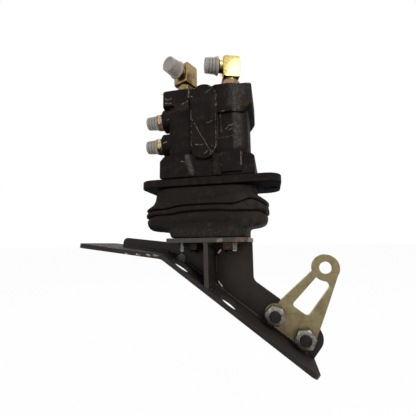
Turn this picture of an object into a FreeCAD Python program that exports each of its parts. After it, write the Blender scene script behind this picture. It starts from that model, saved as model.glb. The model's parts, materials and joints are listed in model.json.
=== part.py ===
"""A twin-spool foot pedal valve with its rocking pedal.

Millimetres. The valve stands with its ports up and its pedal hanging below, as it
does when it is turned over for work on a bench. +X is the pedal's toe end, +Z points
from the pedal to the ports, and the origin is the middle of the mounting flange's
seating face, on the valve's centre line.
"""
import FreeCAD, Part

import math
import os
import re
from types import SimpleNamespace

import Sketcher
from FreeCAD import Placement, Rotation, Vector

DOC = FreeCAD.newDocument("FootPedalValve")
SHEET = DOC.addObject("Spreadsheet::Sheet", "Dims")

SIZES = {
    # valve body casting
    "body_width": 92.0,
    "body_depth": 68.0,
    "body_height": 106.0,
    "body_corner_radius": 9.0,
    "skirt_width": 106.0,
    "skirt_depth": 76.0,
    "skirt_height": 26.0,
    "skirt_chamfer": 6.0,
    "cast_radius": 2.5,
    "shoulder_reach": 52.0,
    "shoulder_depth": 76.0,
    "shoulder_corner_radius": 5.0,
    "front_facet_start": 15.0,
    "front_facet_edge": 6.0,
    "front_facet_back": 3.0,
    "side_facet_back": 12.0,
    "shoulder_facet_start": 24.5,
    "shoulder_facet_edge": 18.5,
    "shoulder_facet_back": 2.5,
    "shoulder_side_back": 6.5,
    "shoulder_cut_width": 10.0,
    "shoulder_cut_height": 12.0,
    "shoulder_bevel": 4.0,
    "shoulder_slope_drop": 9.0,
    "left_shoulder_width": 34.0,
    "left_shoulder_height": 19.0,
    "right_shoulder_width": 42.0,
    "right_shoulder_height": 34.0,
    "rib_width": 29.4,
    "rib_shift": 1.6,
    "rib_bottom": 19.0,
    "rib_proud": 8.0,
    "side_pad_left": 42.0,
    "side_pad_width": 24.0,
    "side_pad_bottom": 26.5,
    "side_pad_height": 45.0,
    "side_pad_taper": 5.0,
    "side_pad_proud": 2.5,
    "foot_pad_middle": 28.6,
    "foot_pad_width": 22.0,
    "foot_pad_height": 22.3,
    "foot_pad_bottom": 2.7,
    "foot_pad_proud": 3.0,
    "foot_block_width": 33.0,
    "foot_block_slant": 9.0,
    "foot_strip_width": 10.0,
    "foot_strip_height": 24.0,
    "foot_strip_proud": 1.5,
    # hydraulic sections
    "section_spacing": 52.0,
    "chamber_radius": 11.5,
    "chamber_height": 44.0,
    "spool_bore_radius": 6.0,
    "spool_bore_depth": 54.0,
    "spool_clearance": 0.03,
    "rod_radius": 5.0,
    "rod_clearance": 0.05,
    "rod_tip_radius": 0.8,
    "rod_tip_length": 4.5,
    "rod_head_radius": 8.0,
    "rod_head_height": 3.0,
    "rod_head_lift": 6.0,
    "rod_gap": 0.35,
    "plug_height": 14.0,
    "plug_clearance": 0.05,
    "wiper_radius": 8.0,
    "wiper_height": 4.0,
    "seal_cord_radius": 1.2,
    "seal_height": 9.0,
    "seat_clearance": 0.7,
    "seat_height": 3.0,
    "spool_overhang": 2.0,
    "spool_length": 48.0,
    "spool_land_length": 9.0,
    "spool_groove_depth": 1.6,
    "stem_radius": 2.5,
    "stem_length": 11.0,
    "return_wire_radius": 0.9,
    "return_turns": 5.0,
    "coil_steps": 8.0,
    "wire_flats": 5.0,
    "meter_wire_radius": 0.7,
    "meter_coil_radius": 4.2,
    "meter_turns": 6.0,
    # side ports and their adapters
    "side_port_back": 20.0,
    "upper_port_height": 76.0,
    "lower_port_height": 45.2,
    "side_boss_radius": 13.8,
    "side_boss_reach": 54.6,
    "side_thread_radius": 7.0,
    "side_thread_length": 13.0,
    "side_hex": 19.0,
    "side_hex_length": 5.0,
    # top ports and their elbows
    "top_port_back": 22.0,
    "top_port_spacing": 55.0,
    "top_stud_radius": 7.5,
    "top_thread_radius": 8.0,
    "top_thread_length": 14.0,
    "lock_nut_hex": 19.0,
    "lock_nut_height": 7.0,
    "neck_length": 2.5,
    "elbow_size": 20.0,
    "elbow_height": 26.0,
    "left_outlet_height": 15.0,
    "right_outlet_height": 18.0,
    "elbow_round": 3.5,
    "elbow_collar_length": 4.0,
    "elbow_collar_radius": 8.0,
    "left_elbow_turn": 245.0,
    "right_elbow_turn": 200.0,
    "port_depth": 16.0,
    "stud_length": 13.0,
    "fitting_bore_radius": 4.5,
    "seal_washer_thickness": 1.5,
    "seal_washer_width": 3.0,
    "thread_gap": 0.05,
    # oil ways inside the casting
    "oil_way_radius": 3.0,
    "side_way_turn": 31.0,
    "side_way_shift": 3.6,
    "side_way_length": 24.0,
    "top_way_turn": 30.0,
    "top_way_shift": 3.5,
    "top_way_length": 31.0,
    "oil_way_lead": 2.0,
    "gallery_plug_radius": 4.0,
    "gallery_plug_length": 6.0,
    # dust caps
    "cap_gap": 0.3,
    "cap_wall": 1.5,
    "cap_taper": 1.0,
    "cap_flare": 1.4,
    "cap_flare_length": 3.0,
    "cap_end_wall": 2.0,
    "cap_seat_gap": 0.4,
    # mounting flange
    "flange_length": 160.0,
    "flange_width": 76.0,
    "flange_thickness": 9.0,
    "flange_corner_radius": 17.0,
    "slot_spacing": 134.0,
    "slot_width": 11.0,
    "slot_length": 18.0,
    "rod_opening_radius": 8.0,
    "flange_screw_radius": 4.0,
    "flange_screw_reach": 14.0,
    "flange_screw_hex": 13.0,
    "flange_screw_head": 5.3,
    "flange_screw_x": 80.0,
    "flange_screw_y": 42.0,
    # rocking pivot
    "pivot_drop": 36.0,
    "pin_radius": 5.0,
    "pin_end": 3.0,
    "bush_wall": 2.0,
    "bush_clearance": 0.03,
    "bush_length": 14.0,
    "hub_radius": 11.0,
    "hub_length": 39.2,
    "lug_gap": 0.4,
    "lug_thickness": 6.0,
    "lug_radius": 10.0,
    "saddle_width": 30.0,
    "saddle_thickness": 6.0,
    "saddle_screw_radius": 3.0,
    "saddle_screw_x": 18.0,
    "saddle_screw_y": 24.0,
    "saddle_screw_hex": 10.0,
    "saddle_screw_head": 4.0,
    "saddle_screw_reach": 7.0,
    "clip_thickness": 1.2,
    "clip_width": 2.5,
    "clip_groove_depth": 0.8,
    "rocker_arm_length": 66.0,
    "rocker_arm_width": 18.0,
    "rocker_arm_depth": 10.0,
    "rocker_column_length": 26.0,
    "rocker_foot_length": 64.0,
    "rocker_foot_width": 50.0,
    "rocker_foot_thickness": 6.0,
    # rubber boot and its clamping frames
    "boot_wall": 2.0,
    "boot_lip": 1.8,
    "boot_corner_radius": 20.0,
    "boot_corner_flats": 4.0,
    "boot_cuff_shift": 5.9,
    "boot_cuff_length": 117.6,
    "boot_cuff_width": 70.0,
    "boot_cuff_bottom": 20.0,
    "boot_fold_shift": 4.8,
    "boot_fold_length": 142.4,
    "boot_fold_width": 92.0,
    "boot_fold_depth": 5.0,
    "boot_first_fold": 35.0,
    "boot_fold_pitch": 8.0,
    "boot_foot_length": 86.0,
    "boot_foot_top": 58.5,
    "frame_thickness": 2.5,
    "frame_window_gap": 2.0,
    "saddle_window_gap": 1.0,
    "frame_window_radius": 4.0,
    "frame_inset": 1.0,
    "frame_screw_radius": 3.0,
    "frame_screw_x": 57.0,
    "frame_screw_land": 2.25,
    "frame_screw_edge": 2.75,
    "frame_screw_hex": 8.0,
    "frame_screw_head": 4.0,
    "frame_screw_tail": 9.0,
    # pedal weldment
    "top_plate_drop": 66.8,
    "top_plate_length": 88.0,
    "top_plate_width": 88.0,
    "top_plate_thickness": 5.0,
    "top_plate_corner": 3.0,
    "pedal_width": 84.0,
    "pedal_thickness": 5.0,
    "heel_length": 107.0,
    "heel_slope": 7.5,
    "toe_length": 190.0,
    "toe_slope": 35.7,
    "bend_x": 48.0,
    "bend_drop": 84.2,
    "bend_radius": 8.0,
    "pedal_corner_radius": 9.0,
    "drain_hole_radius": 12.3,
    "drain_hole_spacing": 54.0,
    "drain_hole_first_run": 22.0,
    "drain_hole_last_run": 86.0,
    "web_thickness": 5.0,
    "web_front": 45.5,
    "rib_height": 11.5,
    "rib_end": 118.0,
    "arm_height": 30.0,
    "arm_end_gap": 2.0,
    "arm_end_radius": 16.0,
    "web_inner_radius": 9.0,
    "notch_radius": 5.5,
    "notch_run": 9.2,
    "gusset_thickness": 5.0,
    "gusset_clip": 12.0,
    "gusset_radius": 6.0,
    "plate_bolt_radius": 5.0,
    "plate_bolt_x": 40.0,
    "plate_bolt_y": 28.0,
    "plate_bolt_head": 6.4,
    "plate_bolt_tail": 3.0,
    "plate_nut_hex": 17.0,
    "plate_nut_height": 8.0,
    # link bracket
    "bracket_thickness": 6.0,
    "bracket_bolt_radius": 6.0,
    "bracket_nut_hex": 19.0,
    "bracket_nut_height": 10.0,
    "bracket_head_height": 7.5,
    "bracket_bolt_tail": 3.0,
    "bracket_bolt_run": 132.0,
    "bracket_bolt_pitch": 35.5,
    "bracket_bolt_height": 14.6,
    "bracket_lobe_radius": 11.6,
    "bracket_waist": 7.0,
    "bracket_side_shift": 4.0,
    "bracket_side_height": 31.4,
    "bracket_corner_radius": 4.0,
    "eye_x": 121.4,
    "eye_drop": 99.9,
    "eye_radius": 14.0,
    "eye_hole_radius": 6.5,
    "window_inset": 7.7,
    "window_height": 18.4,
    "window_eye_gap": 10.6,
    "window_side_shift": 4.1,
    "window_side_drop": 18.1,
    "hole_clearance": 0.25,
}

TIED = {
    "top_window_width": "=hub_length + 2 * (lug_gap + lug_thickness + saddle_window_gap)",
    "foot_window_width": "=rocker_foot_width + 2 * frame_window_gap",
    "frame_screw_y": "=foot_window_width + 2 * (frame_screw_radius + frame_screw_land)",
    "boot_foot_width":
        "=frame_screw_y + 2 * (frame_screw_radius + frame_screw_edge + frame_inset + boot_wall)",
}
ROWS = {**SIZES, **TIED}

for number, (alias, size) in enumerate(ROWS.items(), start=1):
    SHEET.set(f"A{number}", alias.replace("_", " "))
    SHEET.set(f"B{number}", str(size))
    SHEET.setAlias(f"B{number}", alias)
DOC.recompute()

D = SimpleNamespace(**{alias: float(SHEET.get(alias)) for alias in ROWS})
ANGLES = ("heel_slope", "toe_slope")
TURNS = {
    "X": Rotation(Vector(0, 1, 0), 90),
    "-X": Rotation(Vector(0, 1, 0), -90),
    "Y": Rotation(Vector(1, 0, 0), -90),
    "Z": Rotation(),
}


def cells(text):
    """An expression in which every alias names its cell of the sheet."""
    def cell(match):
        word = match.group()
        if word in ANGLES:
            return f"(Dims.{word} * 1deg)"
        return f"Dims.{word}" if word in ROWS else word
    return re.sub(r"[a-z_]+", cell, text)


def bind(item, **formulas):
    for prop, formula in formulas.items():
        item.setExpression(prop, cells(formula))
    return item


def put(item, x="0", y="0", z="0", turn=None):
    """Turns an object, then ties its position to the sheet."""
    if turn is not None:
        item.Placement = Placement(Vector(), turn)
    for axis, formula in zip("xyz", (x, y, z)):
        item.setExpression(f"Placement.Base.{axis}", cells(formula))
    return item


def box(name, length, width, height, x="0", y="0", z="0"):
    """A block centred on x and y, standing on z."""
    block = DOC.addObject("Part::Box", name)
    bind(block, Length=length, Width=width, Height=height)
    return put(block, f"({x}) - ({length}) / 2", f"({y}) - ({width}) / 2", z)


def rod(name, radius, length, x="0", y="0", z="0", along="Z"):
    cylinder = DOC.addObject("Part::Cylinder", name)
    bind(cylinder, Radius=radius, Height=length)
    return put(cylinder, x, y, z, TURNS[along])


def cone(name, radius, far_radius, length, x="0", y="0", z="0", along="Z"):
    taper = DOC.addObject("Part::Cone", name)
    bind(taper, Radius1=radius, Radius2=far_radius, Height=length)
    return put(taper, x, y, z, TURNS[along])


def hexagon(name, across_flats, length, x="0", y="0", z="0", along="Z", turn=0):
    prism = DOC.addObject("Part::Prism", name)
    prism.Polygon = 6
    bind(prism, Circumradius=f"({across_flats}) / sqrt(3)", Height=length)
    return put(prism, x, y, z, TURNS[along] * Rotation(Vector(0, 0, 1), turn))


def fuse(name, *parts):
    union = DOC.addObject("Part::MultiFuse", name)
    union.Shapes = list(parts)
    union.Refine = True
    return union


def cut(name, base, *tools):
    result = DOC.addObject("Part::Cut", name)
    result.Base = base
    result.Tool = tools[0] if len(tools) == 1 else fuse(f"{name}_cutters", *tools)
    result.Refine = True
    return result


def group(name, *parts):
    """Like pieces of one node, as separate solids."""
    pieces = DOC.addObject("Part::Compound", name)
    pieces.Links = list(parts)
    return pieces


def edges_where(shape, test):
    return [f"Edge{number}" for number, edge in enumerate(shape.Edges, start=1) if test(edge)]


def along(edge, direction):
    """Whether an edge is straight and parallel to a direction."""
    if edge.Curve.TypeId != "Part::GeomLine":
        return False
    return edge.tangentAt(edge.FirstParameter).cross(direction).Length < 1e-6


def soften(item, radius, test, chamfer=False):
    """Rounds or chamfers the edges of a primitive or boolean that pass the test."""
    DOC.recompute()
    kind = "Part::Chamfer" if chamfer else "Part::Fillet"
    result = DOC.addObject(kind, f"{item.Name}_softened")
    result.Base = item
    chosen = edges_where(item.Shape, test)
    result.Edges = [(int(edge[4:]), radius, radius) for edge in chosen]
    return result


def outline(sketch, corners):
    """A closed polygon whose every corner is tied to the sheet."""
    first = sketch.GeometryCount
    count = len(corners)
    ring = [Vector(math.cos(math.tau * i / count), math.sin(math.tau * i / count), 0) for i in range(count)]
    for start, end in zip(ring, ring[1:] + ring[:1]):
        sketch.addGeometry(Part.LineSegment(start, end), False)
    for i in range(count):
        sketch.addConstraint(Sketcher.Constraint("Coincident", first + i, 2, first + (i + 1) % count, 1))
    for i, (x, y) in enumerate(corners):
        for kind, start, formula in (("DistanceX", ring[i].x, x), ("DistanceY", ring[i].y, y)):
            index = sketch.addConstraint(Sketcher.Constraint(kind, -1, 1, first + i, 1, start))
            sketch.setExpression(f"Constraints[{index}]", cells(formula))
    return range(first, first + count)


def hole(sketch, x, y, radius):
    circle = sketch.addGeometry(Part.Circle(Vector(1, 1, 0), Vector(0, 0, 1), 1), False)
    for kind, formula in (("DistanceX", x), ("DistanceY", y)):
        index = sketch.addConstraint(Sketcher.Constraint(kind, -1, 1, circle, 3, 1.0))
        sketch.setExpression(f"Constraints[{index}]", cells(formula))
    index = sketch.addConstraint(Sketcher.Constraint("Radius", circle, 1.0))
    sketch.setExpression(f"Constraints[{index}]", cells(radius))


def new_sketch(body, name, plane, offset):
    """A sketch on one of a body's own origin planes, moved along its normal."""
    sketch = body.newObject("Sketcher::SketchObject", name)
    support = next(item for item in body.Origin.OriginFeatures if item.Role == plane)
    sketch.AttachmentSupport = [(support, "")]
    sketch.MapMode = "FlatFace"
    sketch.setExpression("AttachmentOffset.Base.z", cells(offset))
    return sketch


def plate(name, corners, thickness, offset, plane="XZ_Plane", radii=(), windows=(), holes=()):
    """A flat or bent plate: an outline padded to its thickness, with rounded corners.

    radii and windows' radii pair a formula with the corners that it rounds.
    """
    body = DOC.addObject("PartDesign::Body", name)
    sketch = new_sketch(body, f"{name}_outline", plane, offset)
    outline(sketch, corners)
    rounded = [(radius, tuple(picks)) for radius, picks in radii]
    for window, window_radius in windows:
        rounded.append((window_radius, tuple(outline(sketch, window))))
    for x, y, radius in holes:
        hole(sketch, x, y, radius)
    pad = body.newObject("PartDesign::Pad", f"{name}_pad")
    pad.Profile = sketch
    bind(pad, Length=thickness)
    DOC.recompute()
    normal = sketch.Placement.Rotation.multVec(Vector(0, 0, 1))
    points = [sketch.Placement.multVec(line.StartPoint) if hasattr(line, "StartPoint") else None
              for line in sketch.Geometry]
    for number, (radius, picks) in enumerate(rounded):
        spots = [points[pick] for pick in picks]

        def at_corner(edge):
            return along(edge, normal) and any(
                (edge.Vertexes[0].Point - spot).cross(normal).Length < 1e-4 for spot in spots)

        base = body.Tip
        chosen = edges_where(base.Shape, at_corner)
        fillet = body.newObject("PartDesign::Fillet", f"{name}_round{number}")
        fillet.Base = (base, chosen)
        bind(fillet, Radius=radius)
        DOC.recompute()
    return body


def section_x(side):
    return f"{side} * section_spacing / 2"


def corner_spots(across, back):
    """The four places of a rectangular screw pattern."""
    return [(f"{sx} * {across} / 2", f"{sy} * {back} / 2") for sx in (-1, 1) for sy in (-1, 1)]


def upright(direction):
    return lambda edge: along(edge, Vector(*direction))


VERTICAL = upright((0, 0, 1))


def make_shoulders():
    """The two blocks that carry the top ports, cut and sloped as they were cast."""
    reach, front, back = "shoulder_reach", "0 - shoulder_depth / 2", "shoulder_depth / 2"
    right_bottom = "body_height - right_shoulder_height"
    right = plate("body_right_block", [
        (f"{reach} - right_shoulder_width", front), (f"{reach} - shoulder_facet_start", front),
        (f"{reach} - shoulder_facet_edge", f"{front} + shoulder_facet_back"),
        (reach, f"{front} + shoulder_side_back"), (reach, back), (f"{reach} - right_shoulder_width", back)],
        "right_shoulder_height", right_bottom, "XY_Plane", radii=[("shoulder_corner_radius", [4, 5])])
    corner = plate("body_right_corner", [
        (reach, right_bottom), (reach, f"{right_bottom} + shoulder_cut_height"),
        (f"{reach} - shoulder_cut_width", right_bottom)], "shoulder_depth", "0 - shoulder_depth / 2")
    inner = "left_shoulder_width - shoulder_reach"
    left_bottom = "body_height - left_shoulder_height"
    left = plate("body_left_block", [
        (f"0 - {reach}", front), (f"{inner} - 1", front),
        (f"{inner} + shoulder_bevel", f"{front} + shoulder_bevel"),
        (f"{inner} + shoulder_bevel", back), (f"0 - {reach}", back)],
        "left_shoulder_height", left_bottom, "XY_Plane", radii=[("shoulder_corner_radius", [0, 3, 4])])
    slope_start = "body_corner_radius - body_width / 2"
    slope = plate("body_left_slope", [
        (front, left_bottom), ("0 - body_depth / 2", f"{left_bottom} - shoulder_slope_drop"),
        ("cast_radius - body_depth / 2", f"{left_bottom} - shoulder_slope_drop"),
        ("cast_radius - body_depth / 2", f"{left_bottom} + cast_radius"),
        (front, f"{left_bottom} + cast_radius")],
        f"{inner} - 1 - ({slope_start})", slope_start, "YZ_Plane")
    return [cut("body_right_shoulder", right, corner), left, slope]


def make_foot_pads():
    """The raised faces on the front of the skirt."""
    front = "0 - skirt_depth / 2"
    proud, inside = f"{front} - foot_pad_proud", f"{front} + skirt_chamfer"
    left_edge = "0 - skirt_width / 2"
    block = plate("body_foot_block", [
        (left_edge, proud), (f"{left_edge} + foot_block_width", proud),
        (f"{left_edge} + foot_block_width + foot_block_slant", front),
        (f"{left_edge} + foot_block_width + foot_block_slant", inside), (left_edge, inside)],
        "skirt_height", "0", "XY_Plane")
    corner = plate("body_foot_corner", [
        (left_edge, "skirt_height"), (left_edge, "skirt_height - skirt_chamfer"),
        (f"{left_edge} + skirt_chamfer", "skirt_height")],
        "foot_pad_proud + skirt_chamfer", "skirt_depth / 2 - skirt_chamfer")
    pad_depth, strip_depth = "foot_pad_proud + skirt_chamfer", "foot_strip_proud + skirt_chamfer"
    pad = box("body_foot_pad", "foot_pad_width", pad_depth, "foot_pad_height", "foot_pad_middle",
              f"{inside} - ({pad_depth}) / 2", "foot_pad_bottom")
    strip = box("body_foot_strip", "foot_strip_width", strip_depth, "foot_strip_height",
                "foot_pad_middle - (foot_pad_width + foot_strip_width) / 2",
                f"{inside} - ({strip_depth}) / 2")
    return [cut("body_foot_face", block, corner), pad, strip]


def make_valve_body():
    end, front, back = "body_width / 2", "0 - body_depth / 2", "body_depth / 2"
    core = plate("body_core", [
        (f"0 - {end}", front), (f"{end} - front_facet_start", front),
        (f"{end} - front_facet_edge", f"{front} + front_facet_back"), (end, f"{front} + side_facet_back"),
        (end, back), (f"0 - {end}", back)],
        "body_height", "0", "XY_Plane", radii=[("body_corner_radius", [0, 4, 5])])
    skirt_block = box("body_skirt_block", "skirt_width", "skirt_depth", "skirt_height")
    skirt = soften(skirt_block, D.skirt_chamfer, lambda edge: not VERTICAL(edge)
                   and edge.CenterOfMass.z > D.skirt_height / 2, chamfer=True)
    shoulders = make_shoulders()
    rib_depth = "rib_proud + cast_radius"
    rib = box("body_rib", "rib_width", rib_depth, "body_height - rib_bottom - rib_width",
              "0 - rib_shift", f"{front} - rib_proud + ({rib_depth}) / 2", "rib_bottom + rib_width / 2")
    rib_ends = [rod(f"body_rib_end{number}", "rib_width / 2", rib_depth,
                    "0 - rib_shift", f"{front} - rib_proud", z, "Y")
                for number, z in enumerate(("rib_bottom + rib_width / 2", "body_height - rib_width / 2"))]
    side_pad = plate(
        "body_side_pad",
        [("0 - side_pad_left", "side_pad_bottom"),
         ("side_pad_width - side_pad_left", "side_pad_bottom"),
         ("side_pad_width - side_pad_left", "side_pad_bottom + side_pad_height"),
         ("side_pad_taper - side_pad_left", "side_pad_bottom + side_pad_height")],
        "side_pad_proud + cast_radius", "body_depth / 2 - cast_radius")
    foot_pads = make_foot_pads()
    boss_length = "side_boss_reach - body_width / 2 + port_depth"
    bosses = [rod(f"body_side_boss{number}", "side_boss_radius", boss_length,
                  "port_depth - body_width / 2", "0 - side_port_back", height, "-X")
              for number, height in enumerate(("upper_port_height", "lower_port_height"))]
    solid = fuse("body_solid", core, skirt, *shoulders, rib, *rib_ends, side_pad, *foot_pads, *bosses)
    cutters = []
    for number, side in enumerate((-1, 1)):
        cutters.append(rod(f"chamber{number}", "chamber_radius", "chamber_height", section_x(side)))
        cutters.append(rod(f"spool_bore{number}", "spool_bore_radius", "chamber_height + spool_bore_depth",
                           section_x(side)))
        cutters.append(rod(f"top_port{number}", "top_stud_radius", "port_depth",
                           f"{side} * top_port_spacing / 2", "0 - top_port_back", "body_height - port_depth"))
    for number, height in enumerate(("upper_port_height", "lower_port_height")):
        cutters.append(rod(f"side_port{number}", "side_thread_radius", "port_depth",
                           "port_depth - side_boss_reach", "0 - side_port_back", height, "-X"))
    port_end = "port_depth - side_boss_reach"
    for number, height in enumerate(("upper_port_height", "lower_port_height")):
        cutters.append(turned_rod(f"side_way{number}", "oil_way_radius", "side_way_length",
                                  f"{port_end} - oil_way_lead", "side_way_shift - side_port_back",
                                  height, D.side_way_turn))
        cutters.append(rod(f"gallery{number}", "oil_way_radius", "body_width / 2 + section_spacing / 2",
                           "0 - body_width / 2", "0", height, "X"))
        cutters.append(rod(f"gallery_mouth{number}", "gallery_plug_radius", "gallery_plug_length",
                           "0 - body_width / 2", "0", height, "X"))
    for number, side in enumerate((-1, 1)):
        way = rod(f"top_way{number}", "oil_way_radius", "top_way_length")
        cutters.append(put(way, f"{side} * top_port_spacing / 2", "top_way_shift - top_port_back",
                           "body_height - port_depth + oil_way_lead",
                           Rotation(Vector(1, 0, 0), 180 + D.top_way_turn)))
    for number, (x, y) in enumerate(corner_spots("flange_screw_x", "flange_screw_y")):
        cutters.append(rod(f"body_screw_hole{number}", "flange_screw_radius", "flange_screw_reach", x, y))
    for number, (x, y) in enumerate(corner_spots("saddle_screw_x", "saddle_screw_y")):
        cutters.append(rod(f"body_saddle_hole{number}", "saddle_screw_radius", "saddle_screw_reach", x, y))
    return cut("valve_body", solid, *cutters)


def make_gallery_plugs():
    return group("gallery_plugs", *[
        rod(f"gallery_plug{number}", "gallery_plug_radius", "gallery_plug_length", "0 - body_width / 2", "0",
            height, "X") for number, height in enumerate(("upper_port_height", "lower_port_height"))])


def make_section(name, side):
    """One hydraulic section: its plug and seals, push rod, springs and spool."""
    x = section_x(side)
    plug = cut(f"guide_plug_{name}",
               rod(f"plug_{name}", "chamber_radius - plug_clearance", "plug_height", x),
               rod(f"plug_bore_{name}", "rod_radius + rod_clearance", "plug_height", x),
               rod(f"wiper_seat_{name}", "wiper_radius", "wiper_height", x),
               cut(f"seal_groove_{name}",
                   rod(f"groove_out_{name}", "chamber_radius", "2 * seal_cord_radius + plug_clearance", x,
                       "0", "seal_height - seal_cord_radius - plug_clearance / 2"),
                   rod(f"groove_in_{name}", "chamber_radius - 2 * seal_cord_radius - plug_clearance",
                       "plug_height", x)))
    wiper = cut(f"wiper_seal_{name}", rod(f"wiper_{name}", "wiper_radius", "wiper_height", x),
                rod(f"wiper_bore_{name}", "rod_radius + rod_clearance", "wiper_height", x))
    seal = cut(f"plug_seal_{name}",
               rod(f"seal_{name}", "chamber_radius", "2 * seal_cord_radius", x, "0",
                   "seal_height - seal_cord_radius"),
               rod(f"seal_hole_{name}", "chamber_radius - 2 * seal_cord_radius", "2 * seal_cord_radius", x,
                   "0", "seal_height - seal_cord_radius"))
    tip = "rod_gap - pivot_drop"
    nose = cone(f"rod_nose_{name}", "rod_tip_radius", "rod_radius", "rod_tip_length", x, "0", tip)
    shank_start = f"{tip} + rod_tip_length"
    head_start = "plug_height + rod_head_lift"
    shank = rod(f"rod_shank_{name}", "rod_radius", f"{head_start} - ({shank_start})", x, "0", shank_start)
    head = rod(f"rod_head_{name}", "rod_head_radius", "rod_head_height", x, "0", head_start)
    push_rod = fuse(f"push_rod_{name}", nose, shank, head)
    seat_start = f"{head_start} + rod_head_height"
    seat = cut(f"spring_seat_{name}",
               rod(f"seat_{name}", "chamber_radius - seat_clearance", "seat_height", x, "0", seat_start),
               rod(f"seat_recess_{name}", "meter_coil_radius + 2 * meter_wire_radius", "seat_height / 2", x,
                   "0", f"{seat_start} + seat_height / 2"))
    spool_start = "chamber_height - spool_overhang"
    spool_radius = "spool_bore_radius - spool_clearance"
    grooves = []
    for number, lands in enumerate((1, 3)):
        z = f"spool_overhang + {lands} * spool_land_length"
        grooves.append(cut(
            f"spool_ring{number}_{name}",
            rod(f"spool_ring_out{number}_{name}", "spool_bore_radius", "spool_land_length", x, "0",
                f"{spool_start} + {z}"),
            rod(f"spool_ring_in{number}_{name}", f"{spool_radius} - spool_groove_depth", "spool_length", x,
                "0", spool_start)))
    spool = cut(f"spool_{name}",
                fuse(f"spool_solid_{name}",
                     rod(f"spool_barrel_{name}", spool_radius, "spool_length", x, "0", spool_start),
                     rod(f"spool_stem_{name}", "stem_radius", "stem_length", x, "0",
                         f"{spool_start} - stem_length")), *grooves)
    seat_top = D.plug_height + D.rod_head_lift + D.rod_head_height + D.seat_height
    place = Vector(side * D.section_spacing / 2, 0, 0)
    return_spring = coil(f"return_spring_{name}", D.chamber_radius - D.seat_clearance - D.return_wire_radius,
                         D.return_wire_radius, D.return_turns, place, seat_top, D.chamber_height)
    meter_spring = coil(f"metering_spring_{name}", D.meter_coil_radius, D.meter_wire_radius, D.meter_turns,
                        place, seat_top - D.seat_height / 2, D.chamber_height - D.spool_overhang)
    return [plug, wiper, seal, push_rod, seat, spool, return_spring, meter_spring]


def coil(name, radius, wire, turns, place, bottom, top):
    """A compression spring between two seats, its wire drawn with flats."""
    rise = top - bottom - 2 * wire
    count = round(turns * D.coil_steps)
    spots = [Vector(radius * math.cos(math.tau * i / D.coil_steps),
                    radius * math.sin(math.tau * i / D.coil_steps), rise * i / count)
             for i in range(count + 1)]
    angles = [math.tau * i / D.wire_flats for i in range(round(D.wire_flats))]
    flats = [Vector(wire * math.cos(angle), 0, wire * math.sin(angle)) for angle in angles]
    ring = Part.Wire(Part.makePolygon(flats + flats[:1]).Edges)
    ring.Placement = Placement(spots[0], Rotation(Vector(0, 1, 0), spots[1] - spots[0]))
    spring = DOC.addObject("Part::Feature", name)
    spring.Shape = Part.Wire(Part.makePolygon(spots).Edges).makePipeShell([ring], True, False, 1)
    spring.Placement = Placement(place + Vector(0, 0, bottom + wire), Rotation())
    return spring


def outward(turn):
    """Points a primitive's axis along a level direction, in degrees from +X."""
    return Rotation(Vector(0, 0, 1), turn) * TURNS["X"]


def radial(x, y, turn, reach):
    """The place at a distance from a centre, along a level direction in degrees."""
    return f"{x} + cos({turn} * 1deg) * ({reach})", f"{y} + sin({turn} * 1deg) * ({reach})"


def turned_rod(name, radius, length, x, y, z, turn, far_radius=None):
    if far_radius is None:
        item = rod(name, radius, length)
    else:
        item = cone(name, radius, far_radius, length)
    return put(item, x, y, z, outward(turn))


def make_washer(name, stud_radius, x, y, z, along_axis):
    return cut(name, rod(f"{name}_disc", f"{stud_radius} + seal_washer_width", "seal_washer_thickness",
                         x, y, z, along_axis),
               rod(f"{name}_hole", f"{stud_radius} + thread_gap", "seal_washer_thickness", x, y, z,
                   along_axis))


def make_cap(name, thread_radius, thread_length, x, y, z, turn):
    """A push-on plastic cap whose mouth is at the given place."""
    inner = f"{thread_radius} + cap_gap"
    outer = f"{inner} + cap_wall"
    length = f"{thread_length} + cap_end_wall"
    shell = turned_rod(f"{name}_shell", outer, length, x, y, z, turn, f"{outer} - cap_taper")
    flare = turned_rod(f"{name}_flare", f"{outer} + cap_flare", "cap_flare_length", x, y, z, turn, outer)
    hollow = turned_rod(f"{name}_hollow", inner, thread_length, x, y, z, turn)
    return cut(name, fuse(f"{name}_solid", shell, flare), hollow)


def make_side_fittings():
    pieces = []
    for name, height in (("upper", "upper_port_height"), ("lower", "lower_port_height")):
        y = "0 - side_port_back"
        face = "0 - side_boss_reach"
        hex_start = f"{face} - seal_washer_thickness"
        hex_end = f"{hex_start} - side_hex_length"
        pieces.append(make_washer(f"side_seal_{name}", "side_thread_radius", face, y, height, "-X"))
        adapter = fuse(f"adapter_solid_{name}",
                       hexagon(f"adapter_hex_{name}", "side_hex", "side_hex_length", hex_start, y, height,
                               "-X"),
                       rod(f"adapter_thread_{name}", "side_thread_radius", "side_thread_length", hex_end, y,
                           height, "-X"),
                       rod(f"adapter_stud_{name}", "side_thread_radius",
                           "stud_length + seal_washer_thickness", f"{face} + stud_length", y, height, "-X"))
        pieces.append(cut(f"side_adapter_{name}", adapter,
                          rod(f"adapter_bore_{name}", "fitting_bore_radius", "side_boss_reach",
                              "0", y, height, "-X"),
                          rod(f"adapter_mouth_{name}", "fitting_bore_radius", "side_boss_reach",
                              face, y, height, "-X")))
        pieces.append(make_cap(f"side_cap_{name}", "side_thread_radius", "side_thread_length",
                               f"{hex_end} - cap_seat_gap", y, height, 180))
    return pieces


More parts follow.
